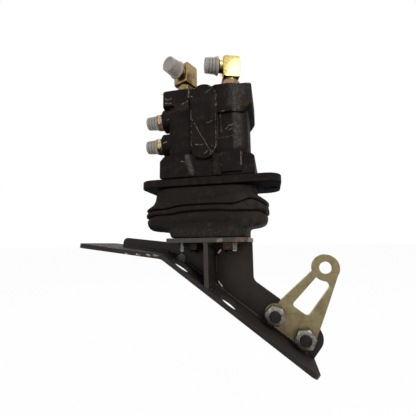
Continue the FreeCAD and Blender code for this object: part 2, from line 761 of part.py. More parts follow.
def make_top_fittings():
    pieces = []
    for name, side, turn in (("left", -1, "left_elbow_turn"), ("right", 1, "right_elbow_turn")):
        x, y = f"{side} * top_port_spacing / 2", "0 - top_port_back"
        nut_start = "body_height + seal_washer_thickness"
        block_start = f"{nut_start} + lock_nut_height + neck_length"
        axis_height = f"{block_start} + {name}_outlet_height"
        degrees = D.left_elbow_turn if side < 0 else D.right_elbow_turn
        pieces.append(make_washer(f"top_seal_{name}", "top_stud_radius", x, y, "body_height", "Z"))
        pieces.append(cut(f"elbow_lock_nut_{name}",
                          hexagon(f"lock_nut_{name}", "lock_nut_hex", "lock_nut_height", x, y, nut_start,
                                  turn=30),
                          rod(f"lock_nut_bore_{name}", "top_stud_radius + thread_gap", "lock_nut_height",
                              x, y, nut_start)))
        block = DOC.addObject("Part::Prism", f"elbow_block_{name}")
        block.Polygon = 4
        bind(block, Circumradius="elbow_size / sqrt(2)", Height="elbow_height")
        put(block, x, y, block_start, Rotation(Vector(0, 0, 1), degrees + 45))
        across = Rotation(Vector(0, 0, 1), degrees).multVec(Vector(0, 1, 0))
        neck_top = D.body_height + D.seal_washer_thickness + D.lock_nut_height + D.neck_length
        block = soften(block, D.elbow_round, lambda edge: along(edge, across)
                       and edge.CenterOfMass.z > neck_top + D.elbow_height / 2)
        face_x, face_y = radial(x, y, turn, "elbow_size / 2 - elbow_round")
        thread_x, thread_y = radial(x, y, turn, "elbow_size / 2 + elbow_collar_length")
        stud_start = "body_height - stud_length"
        solid = fuse(f"elbow_solid_{name}", block,
                     turned_rod(f"elbow_collar_{name}", "elbow_collar_radius",
                                "elbow_collar_length + elbow_round", face_x, face_y, axis_height, degrees),
                     turned_rod(f"elbow_thread_{name}", "top_thread_radius", "top_thread_length",
                                thread_x, thread_y, axis_height, degrees),
                     rod(f"elbow_stud_{name}", "top_stud_radius", f"{block_start} - ({stud_start})", x, y,
                         stud_start))
        pieces.append(cut(f"top_elbow_{name}", solid,
                          rod(f"elbow_way_{name}", "fitting_bore_radius", f"{axis_height} - ({stud_start})",
                              x, y, stud_start),
                          turned_rod(f"elbow_mouth_{name}", "fitting_bore_radius",
                                     "elbow_size / 2 + elbow_collar_length + top_thread_length", x, y,
                                     axis_height, degrees)))
        mouth_x, mouth_y = radial(x, y, turn, "elbow_size / 2 + elbow_collar_length + cap_seat_gap")
        pieces.append(make_cap(f"top_cap_{name}", "top_thread_radius", "top_thread_length",
                               mouth_x, mouth_y, axis_height, degrees))
    return pieces


def make_flange():
    half_length, half_width = "flange_length / 2", "flange_width / 2"
    corners = [(f"{sx} * {half_length}", f"{sy} * {half_width}")
               for sx, sy in ((-1, -1), (1, -1), (1, 1), (-1, 1))]
    holes = [(section_x(side), "0", "rod_opening_radius") for side in (-1, 1)]
    holes += [(x, y, "flange_screw_radius") for x, y in corner_spots("flange_screw_x", "flange_screw_y")]
    holes += [(x, y, "saddle_screw_radius") for x, y in corner_spots("saddle_screw_x", "saddle_screw_y")]
    blank = plate("flange_blank", corners, "flange_thickness", "0 - flange_thickness", "XY_Plane",
                  radii=[("flange_corner_radius", range(4))], holes=holes)
    slots = []
    for number, side in enumerate((-1, 1)):
        middle = f"{side} * slot_spacing / 2"
        straight = "(slot_length - slot_width)"
        slots.append(box(f"slot{number}", straight, "slot_width", "flange_thickness", middle, "0",
                         "0 - flange_thickness"))
        for end in (-1, 1):
            slots.append(rod(f"slot{number}_end{end + 1}", "slot_width / 2", "flange_thickness",
                             f"{middle} + {end} * {straight} / 2", "0", "0 - flange_thickness"))
    return cut("mounting_flange", blank, *slots)


def make_pivot():
    base_top = "0 - flange_thickness"
    lug_inner = "hub_length / 2 + lug_gap"
    saddle_depth = f"2 * ({lug_inner} + lug_thickness)"
    base = box("saddle_base", "saddle_width", saddle_depth, "saddle_thickness", "0", "0",
               f"{base_top} - saddle_thickness")
    lugs = []
    for number, (start, side) in enumerate(((f"0 - ({lug_inner}) - lug_thickness", -1), (lug_inner, 1))):
        middle = f"{side} * ({lug_inner} + lug_thickness / 2)"
        lugs.append(box(f"lug{number}", "2 * lug_radius", "lug_thickness",
                        "pivot_drop - flange_thickness", "0", middle, "0 - pivot_drop"))
        lugs.append(rod(f"lug_end{number}", "lug_radius", "lug_thickness", "0", start, "0 - pivot_drop", "Y"))
    pin_hole = rod("lug_hole", "pin_radius", saddle_depth, "0", f"0 - ({saddle_depth}) / 2",
                   "0 - pivot_drop", "Y")
    screw_holes = [rod(f"saddle_hole{number}", "saddle_screw_radius", "saddle_thickness", x, y,
                       f"{base_top} - saddle_thickness")
                   for number, (x, y) in enumerate(corner_spots("saddle_screw_x", "saddle_screw_y"))]
    saddle = cut("pivot_saddle", fuse("saddle_solid", base, *lugs), pin_hole, *screw_holes)
    screws = []
    for number, (x, y) in enumerate(corner_spots("saddle_screw_x", "saddle_screw_y")):
        start = f"{base_top} - saddle_thickness"
        screws.append(fuse(f"saddle_screw{number}",
                           rod(f"saddle_shank{number}", "saddle_screw_radius",
                               "saddle_thickness + flange_thickness + saddle_screw_reach", x, y, start),
                           hexagon(f"saddle_head{number}", "saddle_screw_hex", "saddle_screw_head", x, y,
                                   f"{start} - saddle_screw_head")))
    half_pin = f"({saddle_depth}) / 2 + pin_end"
    pin = cut("pivot_pin",
              rod("pin_solid", "pin_radius", f"2 * ({half_pin})", "0", f"0 - ({half_pin})",
                  "0 - pivot_drop", "Y"),
              *[cut(f"clip_groove{number}",
                    rod(f"clip_groove_out{number}", "pin_radius + clip_width", "clip_thickness", "0", y,
                        "0 - pivot_drop", "Y"),
                    rod(f"clip_groove_in{number}", "pin_radius - clip_groove_depth", "clip_thickness", "0", y,
                        "0 - pivot_drop", "Y"))
                for number, y in enumerate((f"0 - ({saddle_depth}) / 2 - clip_thickness",
                                            f"({saddle_depth}) / 2"))])
    clips = [cut(f"pin_clip{number}",
                 rod(f"clip_disc{number}", "pin_radius + clip_width - clip_groove_depth", "clip_thickness",
                     "0", y, "0 - pivot_drop", "Y"),
                 rod(f"clip_bore{number}", "pin_radius - clip_groove_depth", "clip_thickness", "0", y,
                     "0 - pivot_drop", "Y"),
                 box(f"clip_mouth{number}", "pin_radius", "clip_thickness", "2 * pin_radius", "0",
                     f"{y} + clip_thickness / 2", "0 - pivot_drop - 2 * pin_radius"))
             for number, y in enumerate((f"0 - ({saddle_depth}) / 2 - clip_thickness",
                                         f"({saddle_depth}) / 2"))]
    bushes = [cut(f"pivot_bush{number}",
                  rod(f"bush_out{number}", "pin_radius + bush_clearance + bush_wall", "bush_length", "0", y,
                      "0 - pivot_drop", "Y"),
                  rod(f"bush_in{number}", "pin_radius + bush_clearance", "bush_length", "0", y,
                      "0 - pivot_drop", "Y"))
              for number, y in enumerate(("0 - hub_length / 2", "hub_length / 2 - bush_length"))]
    return [saddle, group("saddle_screws", *screws), pin, group("pin_clips", *clips),
            group("pivot_bushes", *bushes)]


def make_rocker():
    foot_bottom = "0 - top_plate_drop"
    foot_top = "rocker_foot_thickness - top_plate_drop"
    arm_bottom = "0 - pivot_drop - rocker_arm_depth"
    solid = fuse("rocker_solid",
                 rod("rocker_hub", "hub_radius", "hub_length", "0", "0 - hub_length / 2",
                     "0 - pivot_drop", "Y"),
                 box("rocker_arms", "rocker_arm_length", "rocker_arm_width", "rocker_arm_depth", "0", "0",
                     arm_bottom),
                 box("rocker_column", "rocker_column_length", "rocker_arm_width",
                     f"{arm_bottom} - ({foot_top})", "0", "0", foot_top),
                 box("rocker_foot", "rocker_foot_length", "rocker_foot_width", "rocker_foot_thickness", "0",
                     "0", foot_bottom))
    bolt_holes = [rod(f"rocker_hole{number}", "plate_bolt_radius", "rocker_foot_thickness", x, y, foot_bottom)
                  for number, (x, y) in enumerate(corner_spots("plate_bolt_x", "plate_bolt_y"))]
    bore = rod("rocker_bore", "pin_radius + bush_clearance + bush_wall", "hub_length", "0",
               "0 - hub_length / 2", "0 - pivot_drop", "Y")
    return cut("rocker", solid, bore, *bolt_holes)


def boot_section(length, width, shift, inset, height):
    """A rectangle with its corners rounded in flats, drawn in by a wall's thickness."""
    radius = D.boot_corner_radius - inset
    centre_x, centre_y = length / 2 - inset - radius, width / 2 - inset - radius
    spots = []
    for quarter, (sx, sy) in enumerate(((1, 1), (-1, 1), (-1, -1), (1, -1))):
        for step in range(int(D.boot_corner_flats) + 1):
            angle = math.pi / 2 * (quarter + step / D.boot_corner_flats)
            spots.append(Vector(sx * centre_x - shift + radius * math.cos(angle),
                                sy * centre_y + radius * math.sin(angle), height))
    return Part.Wire(Part.makePolygon(spots + spots[:1]).Edges)


def make_boot():
    """The folded rubber boot, with a lip at each end that a frame clamps."""
    top, bottom = -D.flange_thickness, -D.top_plate_drop
    cuff = (D.boot_cuff_length, D.boot_cuff_width, D.boot_cuff_shift)
    foot = (D.boot_foot_length, D.boot_foot_width, 0.0)
    rows = [(top, cuff), (-D.boot_cuff_bottom, cuff)]
    for fold in range(3):
        height = -D.boot_first_fold - fold * D.boot_fold_pitch
        rows.append((height, (D.boot_fold_length, D.boot_fold_width, D.boot_fold_shift)))
        if fold < 2:
            rows.append((height - D.boot_fold_pitch / 2,
                         (D.boot_fold_length - 2 * D.boot_fold_depth,
                          D.boot_fold_width - 2 * D.boot_fold_depth, D.boot_fold_shift)))
    rows += [(-D.boot_foot_top, foot), (bottom, foot)]
    shells = [Part.makeLoft([boot_section(*outline, inset, height) for height, outline in rows], True, True)
              for inset in (0, D.boot_wall)]
    skin = shells[0].cut(shells[1])
    lips = []
    for height, outline, opening in ((top - D.boot_lip, cuff, D.top_window_width),
                                     (bottom, foot, D.foot_window_width)):
        rim = Part.Face(boot_section(*outline, D.boot_wall / 2, height))
        ring = rim.extrude(Vector(0, 0, D.boot_lip))
        window_x = D.rocker_foot_length / 2 + D.frame_window_gap
        window = Part.makeBox(2 * window_x, opening, D.boot_lip, Vector(-window_x, -opening / 2, height))
        lips.append(ring.cut(window))
    rubber = skin.fuse(lips)
    holes = []
    for pattern, radius in (((D.flange_screw_x, D.flange_screw_y), D.flange_screw_radius),
                            ((D.frame_screw_x, D.frame_screw_y), D.frame_screw_radius)):
        height = top - D.boot_lip if radius == D.flange_screw_radius else bottom
        for sx in (-1, 1):
            for sy in (-1, 1):
                holes.append(Part.makeCylinder(radius, D.boot_lip,
                                               Vector(sx * pattern[0] / 2, sy * pattern[1] / 2, height)))
    boot = DOC.addObject("Part::Feature", "boot")
    boot.Shape = rubber.cut(holes).removeSplitter()
    return boot


def make_boot_frame(name, length, width, shift, bottom, opening, screw_x, screw_y, screw_radius):
    """The flat steel frame that clamps one lip of the boot."""
    half = [(-1, -1), (1, -1), (1, 1), (-1, 1)]
    reach = "boot_wall + frame_inset"
    corners = [(f"{sx} * ({length} / 2 - ({reach})) - {shift}", f"{sy} * ({width} / 2 - ({reach}))")
               for sx, sy in half]
    window = [(f"{sx} * (rocker_foot_length / 2 + frame_window_gap)", f"{sy} * {opening} / 2")
              for sx, sy in half]
    holes = [(x, y, screw_radius) for x, y in corner_spots(screw_x, screw_y)]
    return plate(name, corners, "frame_thickness", bottom, "XY_Plane",
                 radii=[("boot_corner_radius - boot_wall - frame_inset", range(4))],
                 windows=[(window, "frame_window_radius")], holes=holes)


def make_frame_fasteners():
    flange_screws, frame_screws = [], []
    start = "0 - flange_thickness - boot_lip - frame_thickness"
    for number, (x, y) in enumerate(corner_spots("flange_screw_x", "flange_screw_y")):
        flange_screws.append(fuse(
            f"flange_screw{number}",
            rod(f"flange_shank{number}", "flange_screw_radius",
                "boot_lip + frame_thickness + flange_thickness + flange_screw_reach", x, y, start),
            hexagon(f"flange_head{number}", "flange_screw_hex", "flange_screw_head", x, y,
                    f"{start} - flange_screw_head")))
    head_bottom = "boot_lip + frame_thickness - top_plate_drop"
    for number, (x, y) in enumerate(corner_spots("frame_screw_x", "frame_screw_y")):
        frame_screws.append(fuse(
            f"frame_screw{number}",
            rod(f"frame_shank{number}", "frame_screw_radius",
                "boot_lip + frame_thickness + top_plate_thickness + frame_screw_tail", x, y,
                "0 - top_plate_drop - top_plate_thickness - frame_screw_tail"),
            hexagon(f"frame_head{number}", "frame_screw_hex", "frame_screw_head", x, y, head_bottom)))
    return [group("flange_screws", *flange_screws), group("boot_frame_screws", *frame_screws)]


def make_top_plate():
    half = [(-1, -1), (1, -1), (1, 1), (-1, 1)]
    corners = [(f"{sx} * top_plate_length / 2", f"{sy} * top_plate_width / 2") for sx, sy in half]
    holes = [(x, y, "plate_bolt_radius") for x, y in corner_spots("plate_bolt_x", "plate_bolt_y")]
    holes += [(x, y, "frame_screw_radius") for x, y in corner_spots("frame_screw_x", "frame_screw_y")]
    return plate("top_plate", corners, "top_plate_thickness", "0 - top_plate_drop - top_plate_thickness",
                 "XY_Plane", radii=[("top_plate_corner", range(4))], holes=holes)


def make_plate_fasteners():
    bolts, painted, rusty = [], [], None
    foot_top = "rocker_foot_thickness - top_plate_drop"
    plate_bottom = "0 - top_plate_drop - top_plate_thickness"
    for number, (x, y) in enumerate(corner_spots("plate_bolt_x", "plate_bolt_y")):
        bolts.append(fuse(
            f"plate_bolt{number}",
            hexagon(f"plate_head{number}", "plate_nut_hex", "plate_bolt_head", x, y, foot_top),
            rod(f"plate_shank{number}", "plate_bolt_radius",
                "rocker_foot_thickness + top_plate_thickness + plate_nut_height + plate_bolt_tail", x, y,
                f"{plate_bottom} - plate_nut_height - plate_bolt_tail")))
        nearest_right = number == 2
        name = "plate_nut_rusty" if nearest_right else f"plate_nut{number}"
        nut = cut(name, hexagon(f"plate_nut_hex{number}", "plate_nut_hex", "plate_nut_height", x, y,
                                f"{plate_bottom} - plate_nut_height"),
                  rod(f"plate_nut_bore{number}", "plate_bolt_radius + thread_gap", "plate_nut_height", x, y,
                      f"{plate_bottom} - plate_nut_height"))
        if nearest_right:
            rusty = nut
        else:
            painted.append(nut)
    return [group("plate_bolts", *bolts), group("plate_nuts", *painted), rusty]


def on_toe(run, lift="0"):
    """A place on the toe run's upper face, and a distance above it."""
    return (f"0 - bend_x + ({run}) * cos(toe_slope) + ({lift}) * sin(toe_slope)",
            f"0 - bend_drop - ({run}) * sin(toe_slope) + ({lift}) * cos(toe_slope)")


def on_heel(run, lift="0"):
    """The same on the heel run, measured from the bend towards the heel."""
    return (f"0 - bend_x - ({run}) * cos(heel_slope) + ({lift}) * sin(heel_slope)",
            f"0 - bend_drop + ({run}) * sin(heel_slope) + ({lift}) * cos(heel_slope)")


def make_foot_plate():
    half_bend = "((toe_slope - heel_slope) / 2)"
    middle = "((toe_slope + heel_slope) / 2)"
    under_bend = (f"0 - bend_x - pedal_thickness / cos({half_bend}) * sin({middle})",
                  f"0 - bend_drop - pedal_thickness / cos({half_bend}) * cos({middle})")
    corners = [on_heel("heel_length"), on_heel("0"), on_toe("toe_length"),
               on_toe("toe_length", "0 - pedal_thickness"), under_bend,
               on_heel("heel_length", "0 - pedal_thickness")]
    blank = plate("foot_plate_blank", corners, "pedal_width", "0 - pedal_width / 2",
                  radii=[("bend_radius", [1]), ("bend_radius + pedal_thickness", [4])])
    toe_normal = Vector(math.sin(math.radians(D.toe_slope)), 0, math.cos(math.radians(D.toe_slope)))
    heel_normal = Vector(math.sin(math.radians(D.heel_slope)), 0, math.cos(math.radians(D.heel_slope)))
    side = D.pedal_width / 2 - 0.1
    rounded = soften(blank, D.pedal_corner_radius, lambda edge: abs(edge.CenterOfMass.y) > side
                     and (along(edge, toe_normal) or along(edge, heel_normal)))
    holes = []
    for number, run in enumerate(("drain_hole_first_run", "drain_hole_last_run")):
        for side in (-1, 1):
            x, z = on_toe(run, "pedal_thickness")
            drill = rod(f"drain{number}_{side + 1}", "drain_hole_radius", "3 * pedal_thickness")
            holes.append(put(drill, x, f"{side} * drain_hole_spacing / 2", z,
                             Rotation(Vector(0, 1, 0), 180 + D.toe_slope)))
    return cut("foot_plate", rounded, *holes)


def bracket_bolt(number):
    """The place of one of the link bracket's two bolts, seen from the side."""
    return on_toe(f"bracket_bolt_run + {number} * bracket_bolt_pitch", "bracket_bolt_height")


def make_web():
    plate_bottom = "0 - top_plate_drop - top_plate_thickness"
    rib_run = "(rib_end - bend_x) / cos(heel_slope)"
    arm_top_x, arm_top_z = on_toe("toe_length - arm_end_gap", "arm_height")
    arm_foot_x, arm_foot_z = on_toe("toe_length - arm_end_gap")
    inner = ("web_front",
             "0 - bend_drop - (web_front + bend_x) * tan(toe_slope) + arm_height / cos(toe_slope)")
    corners = [on_heel(rib_run), on_heel(rib_run, "rib_height"),
               ("0 - top_plate_length / 2", plate_bottom), ("web_front", plate_bottom), inner,
               (arm_top_x, arm_top_z), (arm_foot_x, arm_foot_z), on_heel("0")]
    holes = [bracket_bolt(number) + ("bracket_bolt_radius + hole_clearance",) for number in (0, 1)]
    blank = plate("web_blank", corners, "web_thickness", "0 - web_thickness / 2",
                  radii=[("arm_end_radius", [5]), ("web_inner_radius", [4]),
                         ("rib_height / 2 - thread_gap", [1])],
                  holes=holes)
    x, z = on_toe("notch_run")
    notch = rod("web_notch", "notch_radius", "web_thickness", x, "0 - web_thickness / 2", z, "Y")
    return cut("web_plate", blank, notch)


def make_gusset(name, side, foot_plate):
    """A cross plate whose corners are clipped to clear the web's welds."""
    top = "0 - top_plate_drop - top_plate_thickness"
    bottom = on_toe("(bend_x + gusset_thickness / 2) / cos(toe_slope)", "0 - pedal_thickness / 4")[1]
    web = "web_thickness / 2"
    corners = [(f"{side} * top_plate_width / 2", top),
               (f"{side} * ({web} + gusset_clip)", top), (f"{side} * {web}", f"{top} - gusset_clip"),
               (f"{side} * {web}", f"{bottom} + gusset_clip"), (f"{side} * ({web} + gusset_clip)", bottom),
               (f"{side} * pedal_width / 2", bottom)]
    blank = plate(f"{name}_blank", corners, "gusset_thickness", "0 - gusset_thickness / 2", "YZ_Plane",
                  radii=[("gusset_radius", [5])])
    return cut(name, blank, foot_plate)


def make_bracket():
    (first_x, first_z), (last_x, last_z) = bracket_bolt(0), bracket_bolt(1)
    eye_z = "0 - eye_drop"
    slant = f"(sqrt((eye_x - ({first_x}))^2 + (0 - eye_drop - ({first_z}))^2))"
    run_x, run_z = f"(eye_x - ({first_x})) / {slant}", f"(0 - eye_drop - ({first_z})) / {slant}"

    def near(bolt, forward, lift):
        x, z = on_toe(f"bracket_bolt_run + {bolt} * bracket_bolt_pitch + ({forward})",
                      f"bracket_bolt_height + ({lift})")
        return x, z

    corners = [near(0, "0", "0 - bracket_lobe_radius"), near(1, "0", "0 - bracket_lobe_radius"),
               near(1, "bracket_lobe_radius * 0.9", "bracket_lobe_radius * 0.4"),
               near(1, "bracket_side_shift", "bracket_side_height"),
               (f"eye_x + eye_radius * 0.85", f"{eye_z} - eye_radius * 0.5"),
               (f"eye_x - bracket_waist * {run_z}", f"{eye_z} + bracket_waist * {run_x}"),
               (f"{first_x} - bracket_waist * {run_z}", f"{first_z} + bracket_waist * {run_x}")]
    window = [near(0, "window_inset", "window_height"), near(1, "0 - window_inset", "window_height"),
              ("eye_x + window_side_shift", f"{eye_z} - window_side_drop"),
              (f"eye_x - window_eye_gap * {run_x}", f"{eye_z} - window_eye_gap * {run_z}")]
    offset = "web_thickness / 2"
    strap = plate("bracket_strap", corners, "bracket_thickness", offset,
                  windows=[(window, "bracket_corner_radius")])
    lobes = [rod(f"bracket_lobe{number}", radius, "bracket_thickness", x,
                 "0 - web_thickness / 2 - bracket_thickness", z, "Y")
             for number, (x, z, radius) in enumerate(((first_x, first_z, "bracket_lobe_radius"),
                                                      (last_x, last_z, "bracket_lobe_radius"),
                                                      ("eye_x", eye_z, "eye_radius")))]
    bolt_hole = "bracket_bolt_radius + hole_clearance"
    holes = [rod(f"bracket_hole{number}", radius, "bracket_thickness", x,
                 "0 - web_thickness / 2 - bracket_thickness", z, "Y")
             for number, (x, z, radius) in enumerate(((first_x, first_z, bolt_hole),
                                                      (last_x, last_z, bolt_hole),
                                                      ("eye_x", eye_z, "eye_hole_radius")))]
    bracket = cut("link_bracket", fuse("bracket_solid", strap, *lobes), *holes)
    bolts, nuts = [], []
    for number, (x, z) in enumerate((bracket_bolt(0), bracket_bolt(1))):
        face = "0 - web_thickness / 2 - bracket_thickness"
        bolts.append(fuse(
            f"bracket_bolt{number}",
            hexagon(f"bracket_bolt_head{number}", "bracket_nut_hex", "bracket_head_height", x,
                    "web_thickness / 2", z, "Y"),
            rod(f"bracket_shank{number}", "bracket_bolt_radius",
                "web_thickness + bracket_thickness + bracket_nut_height + bracket_bolt_tail", x,
                f"{face} - bracket_nut_height - bracket_bolt_tail", z, "Y")))
        nuts.append(cut(
            f"bracket_nut{number}",
            hexagon(f"bracket_nut_hex{number}", "bracket_nut_hex", "bracket_nut_height", x,
                    f"{face} - bracket_nut_height", z, "Y", turn=15 + 20 * number),
            rod(f"bracket_nut_bore{number}", "bracket_bolt_radius + thread_gap", "bracket_nut_height", x,
                f"{face} - bracket_nut_height", z, "Y")))
    return [bracket, group("bracket_bolts", *bolts), group("bracket_nuts", *nuts)]


def make_all():
    nodes = [make_valve_body(), make_gallery_plugs(), make_flange()]
    nodes += make_section("left", -1) + make_section("right", 1)
    nodes += make_side_fittings() + make_top_fittings()
    nodes += make_pivot() + [make_rocker(), make_boot()]
    nodes.append(make_boot_frame("boot_top_frame", "boot_cuff_length", "boot_cuff_width", "boot_cuff_shift",
                                 "0 - flange_thickness - boot_lip - frame_thickness", "top_window_width",
                                 "flange_screw_x", "flange_screw_y", "flange_screw_radius"))
    nodes.append(make_boot_frame("boot_foot_frame", "boot_foot_length", "boot_foot_width", "0",
                                 "boot_lip - top_plate_drop", "foot_window_width",
                                 "frame_screw_x", "frame_screw_y", "frame_screw_radius"))
    nodes += make_frame_fasteners() + [make_top_plate()] + make_plate_fasteners()
    foot_plate = make_foot_plate()
    nodes += [foot_plate, make_web(), make_gusset("gusset_near", -1, foot_plate),
              make_gusset("gusset_far", 1, foot_plate)]
    return nodes + make_bracket()


def write(nodes):
    """Checks every object and each piece, then writes one file for each piece."""
    DOC.recompute()
    for item in DOC.Objects:
        if "Invalid" in item.State or "Error" in item.State:
            raise RuntimeError(f"{item.Label} did not build: {item.State}")
    for node in nodes:
        shape = node.Shape
        if shape.isNull() or not shape.isValid() or not shape.Solids:
            raise RuntimeError(f"{node.Label} has no valid solid")
    os.makedirs("parts", exist_ok=True)
    for node in nodes:
        node.Shape.exportStep(f"parts/{node.Label}.step")


write(make_all())
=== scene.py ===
"""Finishes a foot pedal valve: its paint, rubber, plating, caps, threads, nuts and welds.

The pieces stand in metres in the valve's own frame: +X is the pedal's toe end, +Z points
from the pedal to the ports, and the origin is the middle of the flange's seating face.
"""

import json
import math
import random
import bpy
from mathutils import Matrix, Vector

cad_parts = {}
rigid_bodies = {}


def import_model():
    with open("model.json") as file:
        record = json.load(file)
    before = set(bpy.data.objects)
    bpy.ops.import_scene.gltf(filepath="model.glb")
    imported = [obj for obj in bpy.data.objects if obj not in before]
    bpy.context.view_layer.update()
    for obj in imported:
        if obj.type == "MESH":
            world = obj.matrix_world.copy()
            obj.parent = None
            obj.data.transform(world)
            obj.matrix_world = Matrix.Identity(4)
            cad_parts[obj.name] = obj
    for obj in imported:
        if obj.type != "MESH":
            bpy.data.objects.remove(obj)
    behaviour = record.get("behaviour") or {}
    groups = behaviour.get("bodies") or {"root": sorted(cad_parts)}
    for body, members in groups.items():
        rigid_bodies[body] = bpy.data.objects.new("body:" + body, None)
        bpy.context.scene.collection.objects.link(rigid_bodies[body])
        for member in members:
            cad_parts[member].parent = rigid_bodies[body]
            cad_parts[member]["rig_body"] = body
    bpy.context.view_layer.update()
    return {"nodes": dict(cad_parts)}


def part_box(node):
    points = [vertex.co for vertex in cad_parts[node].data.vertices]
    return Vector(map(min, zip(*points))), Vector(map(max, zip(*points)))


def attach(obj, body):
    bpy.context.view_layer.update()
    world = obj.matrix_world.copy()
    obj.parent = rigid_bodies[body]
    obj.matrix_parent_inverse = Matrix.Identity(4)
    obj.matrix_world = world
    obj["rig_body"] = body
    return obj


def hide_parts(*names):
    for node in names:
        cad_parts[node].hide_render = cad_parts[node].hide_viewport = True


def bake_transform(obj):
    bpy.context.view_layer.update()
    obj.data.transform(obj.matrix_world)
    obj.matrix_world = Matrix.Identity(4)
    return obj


bl_info = {
    "name": "Foot Pedal Valve",
    "version": (1, 0, 0),
    "blender": (4, 5, 0),
    "location": "View3D > Sidebar > Pedal Valve",
    "description": "Finishes the castings, fittings, boot and pedal of a foot pedal valve",
    "category": "Object",
}

from types import SimpleNamespace

import bmesh
import bpy
from mathutils import Matrix, Vector, noise
from mathutils.bvhtree import BVHTree

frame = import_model()
NODES = frame["nodes"]
MM = 0.001
BEVEL_SAMPLES = 6
WHITE = (1.0, 1.0, 1.0)
FINISHES = {}


class Wire:
    """A socket's output. Arithmetic on it adds Math nodes to its tree."""

    def __init__(self, nodes, socket):
        self.nodes = nodes
        self.socket = socket

    def __add__(self, other):
        return self.nodes.maths("ADD", self, other)

    def __radd__(self, other):
        return self.nodes.maths("ADD", other, self)

    def __sub__(self, other):
        return self.nodes.maths("SUBTRACT", self, other)

    def __rsub__(self, other):
        return self.nodes.maths("SUBTRACT", other, self)

    def __mul__(self, other):
        return self.nodes.maths("MULTIPLY", self, other)

    def __rmul__(self, other):
        return self.nodes.maths("MULTIPLY", other, self)

    def __truediv__(self, other):
        return self.nodes.maths("DIVIDE", self, other)

    def __abs__(self):
        return self.nodes.maths("ABSOLUTE", self)

    def least(self, other):
        return self.nodes.maths("MINIMUM", self, other)

    def most(self, other):
        return self.nodes.maths("MAXIMUM", self, other)

    def between(self, low, high):
        """0 below low, 1 above high, and a smooth step from one to the other."""
        return self.nodes.node(
            "ShaderNodeMapRange", {"interpolation_type": "SMOOTHSTEP"},
            {"Value": self, "From Min": low, "From Max": high})


class Nodes:
    """The node tree of a material or a world, built from expressions on wires."""

    def __init__(self, tree):
        self.tree = tree

    def join(self, value, socket):
        """Links a wire to a socket, or gives the socket a number or a colour."""
        if isinstance(value, Wire):
            self.tree.links.new(value.socket, socket)
        elif socket.type == "RGBA" and len(value) == 3:
            socket.default_value = (*value, 1.0)
        else:
            socket.default_value = value

    def node(self, kind, settings, inputs, output=0):
        """Adds a node: its settings first, then the values or wires of its sockets."""
        node = self.tree.nodes.new(kind)
        for name, value in settings.items():
            setattr(node, name, value)
        for name, value in inputs.items():
            self.join(value, node.inputs[name])
        return Wire(self, node.outputs[output])

    def maths(self, operation, first, second=None):
        inputs = {0: first} if second is None else {0: first, 1: second}
        return self.node("ShaderNodeMath", {"operation": operation}, inputs)

    def background_rays(self):
        """1 for rays from the camera, off gloss or through plastic, which show the background, or else 0."""
        kinds = ("Is Camera Ray", "Is Glossy Ray", "Is Transmission Ray")
        camera, glossy, through = (self.node("ShaderNodeLightPath", {}, {}, kind) for kind in kinds)
        return (camera + glossy + through).least(1.0)


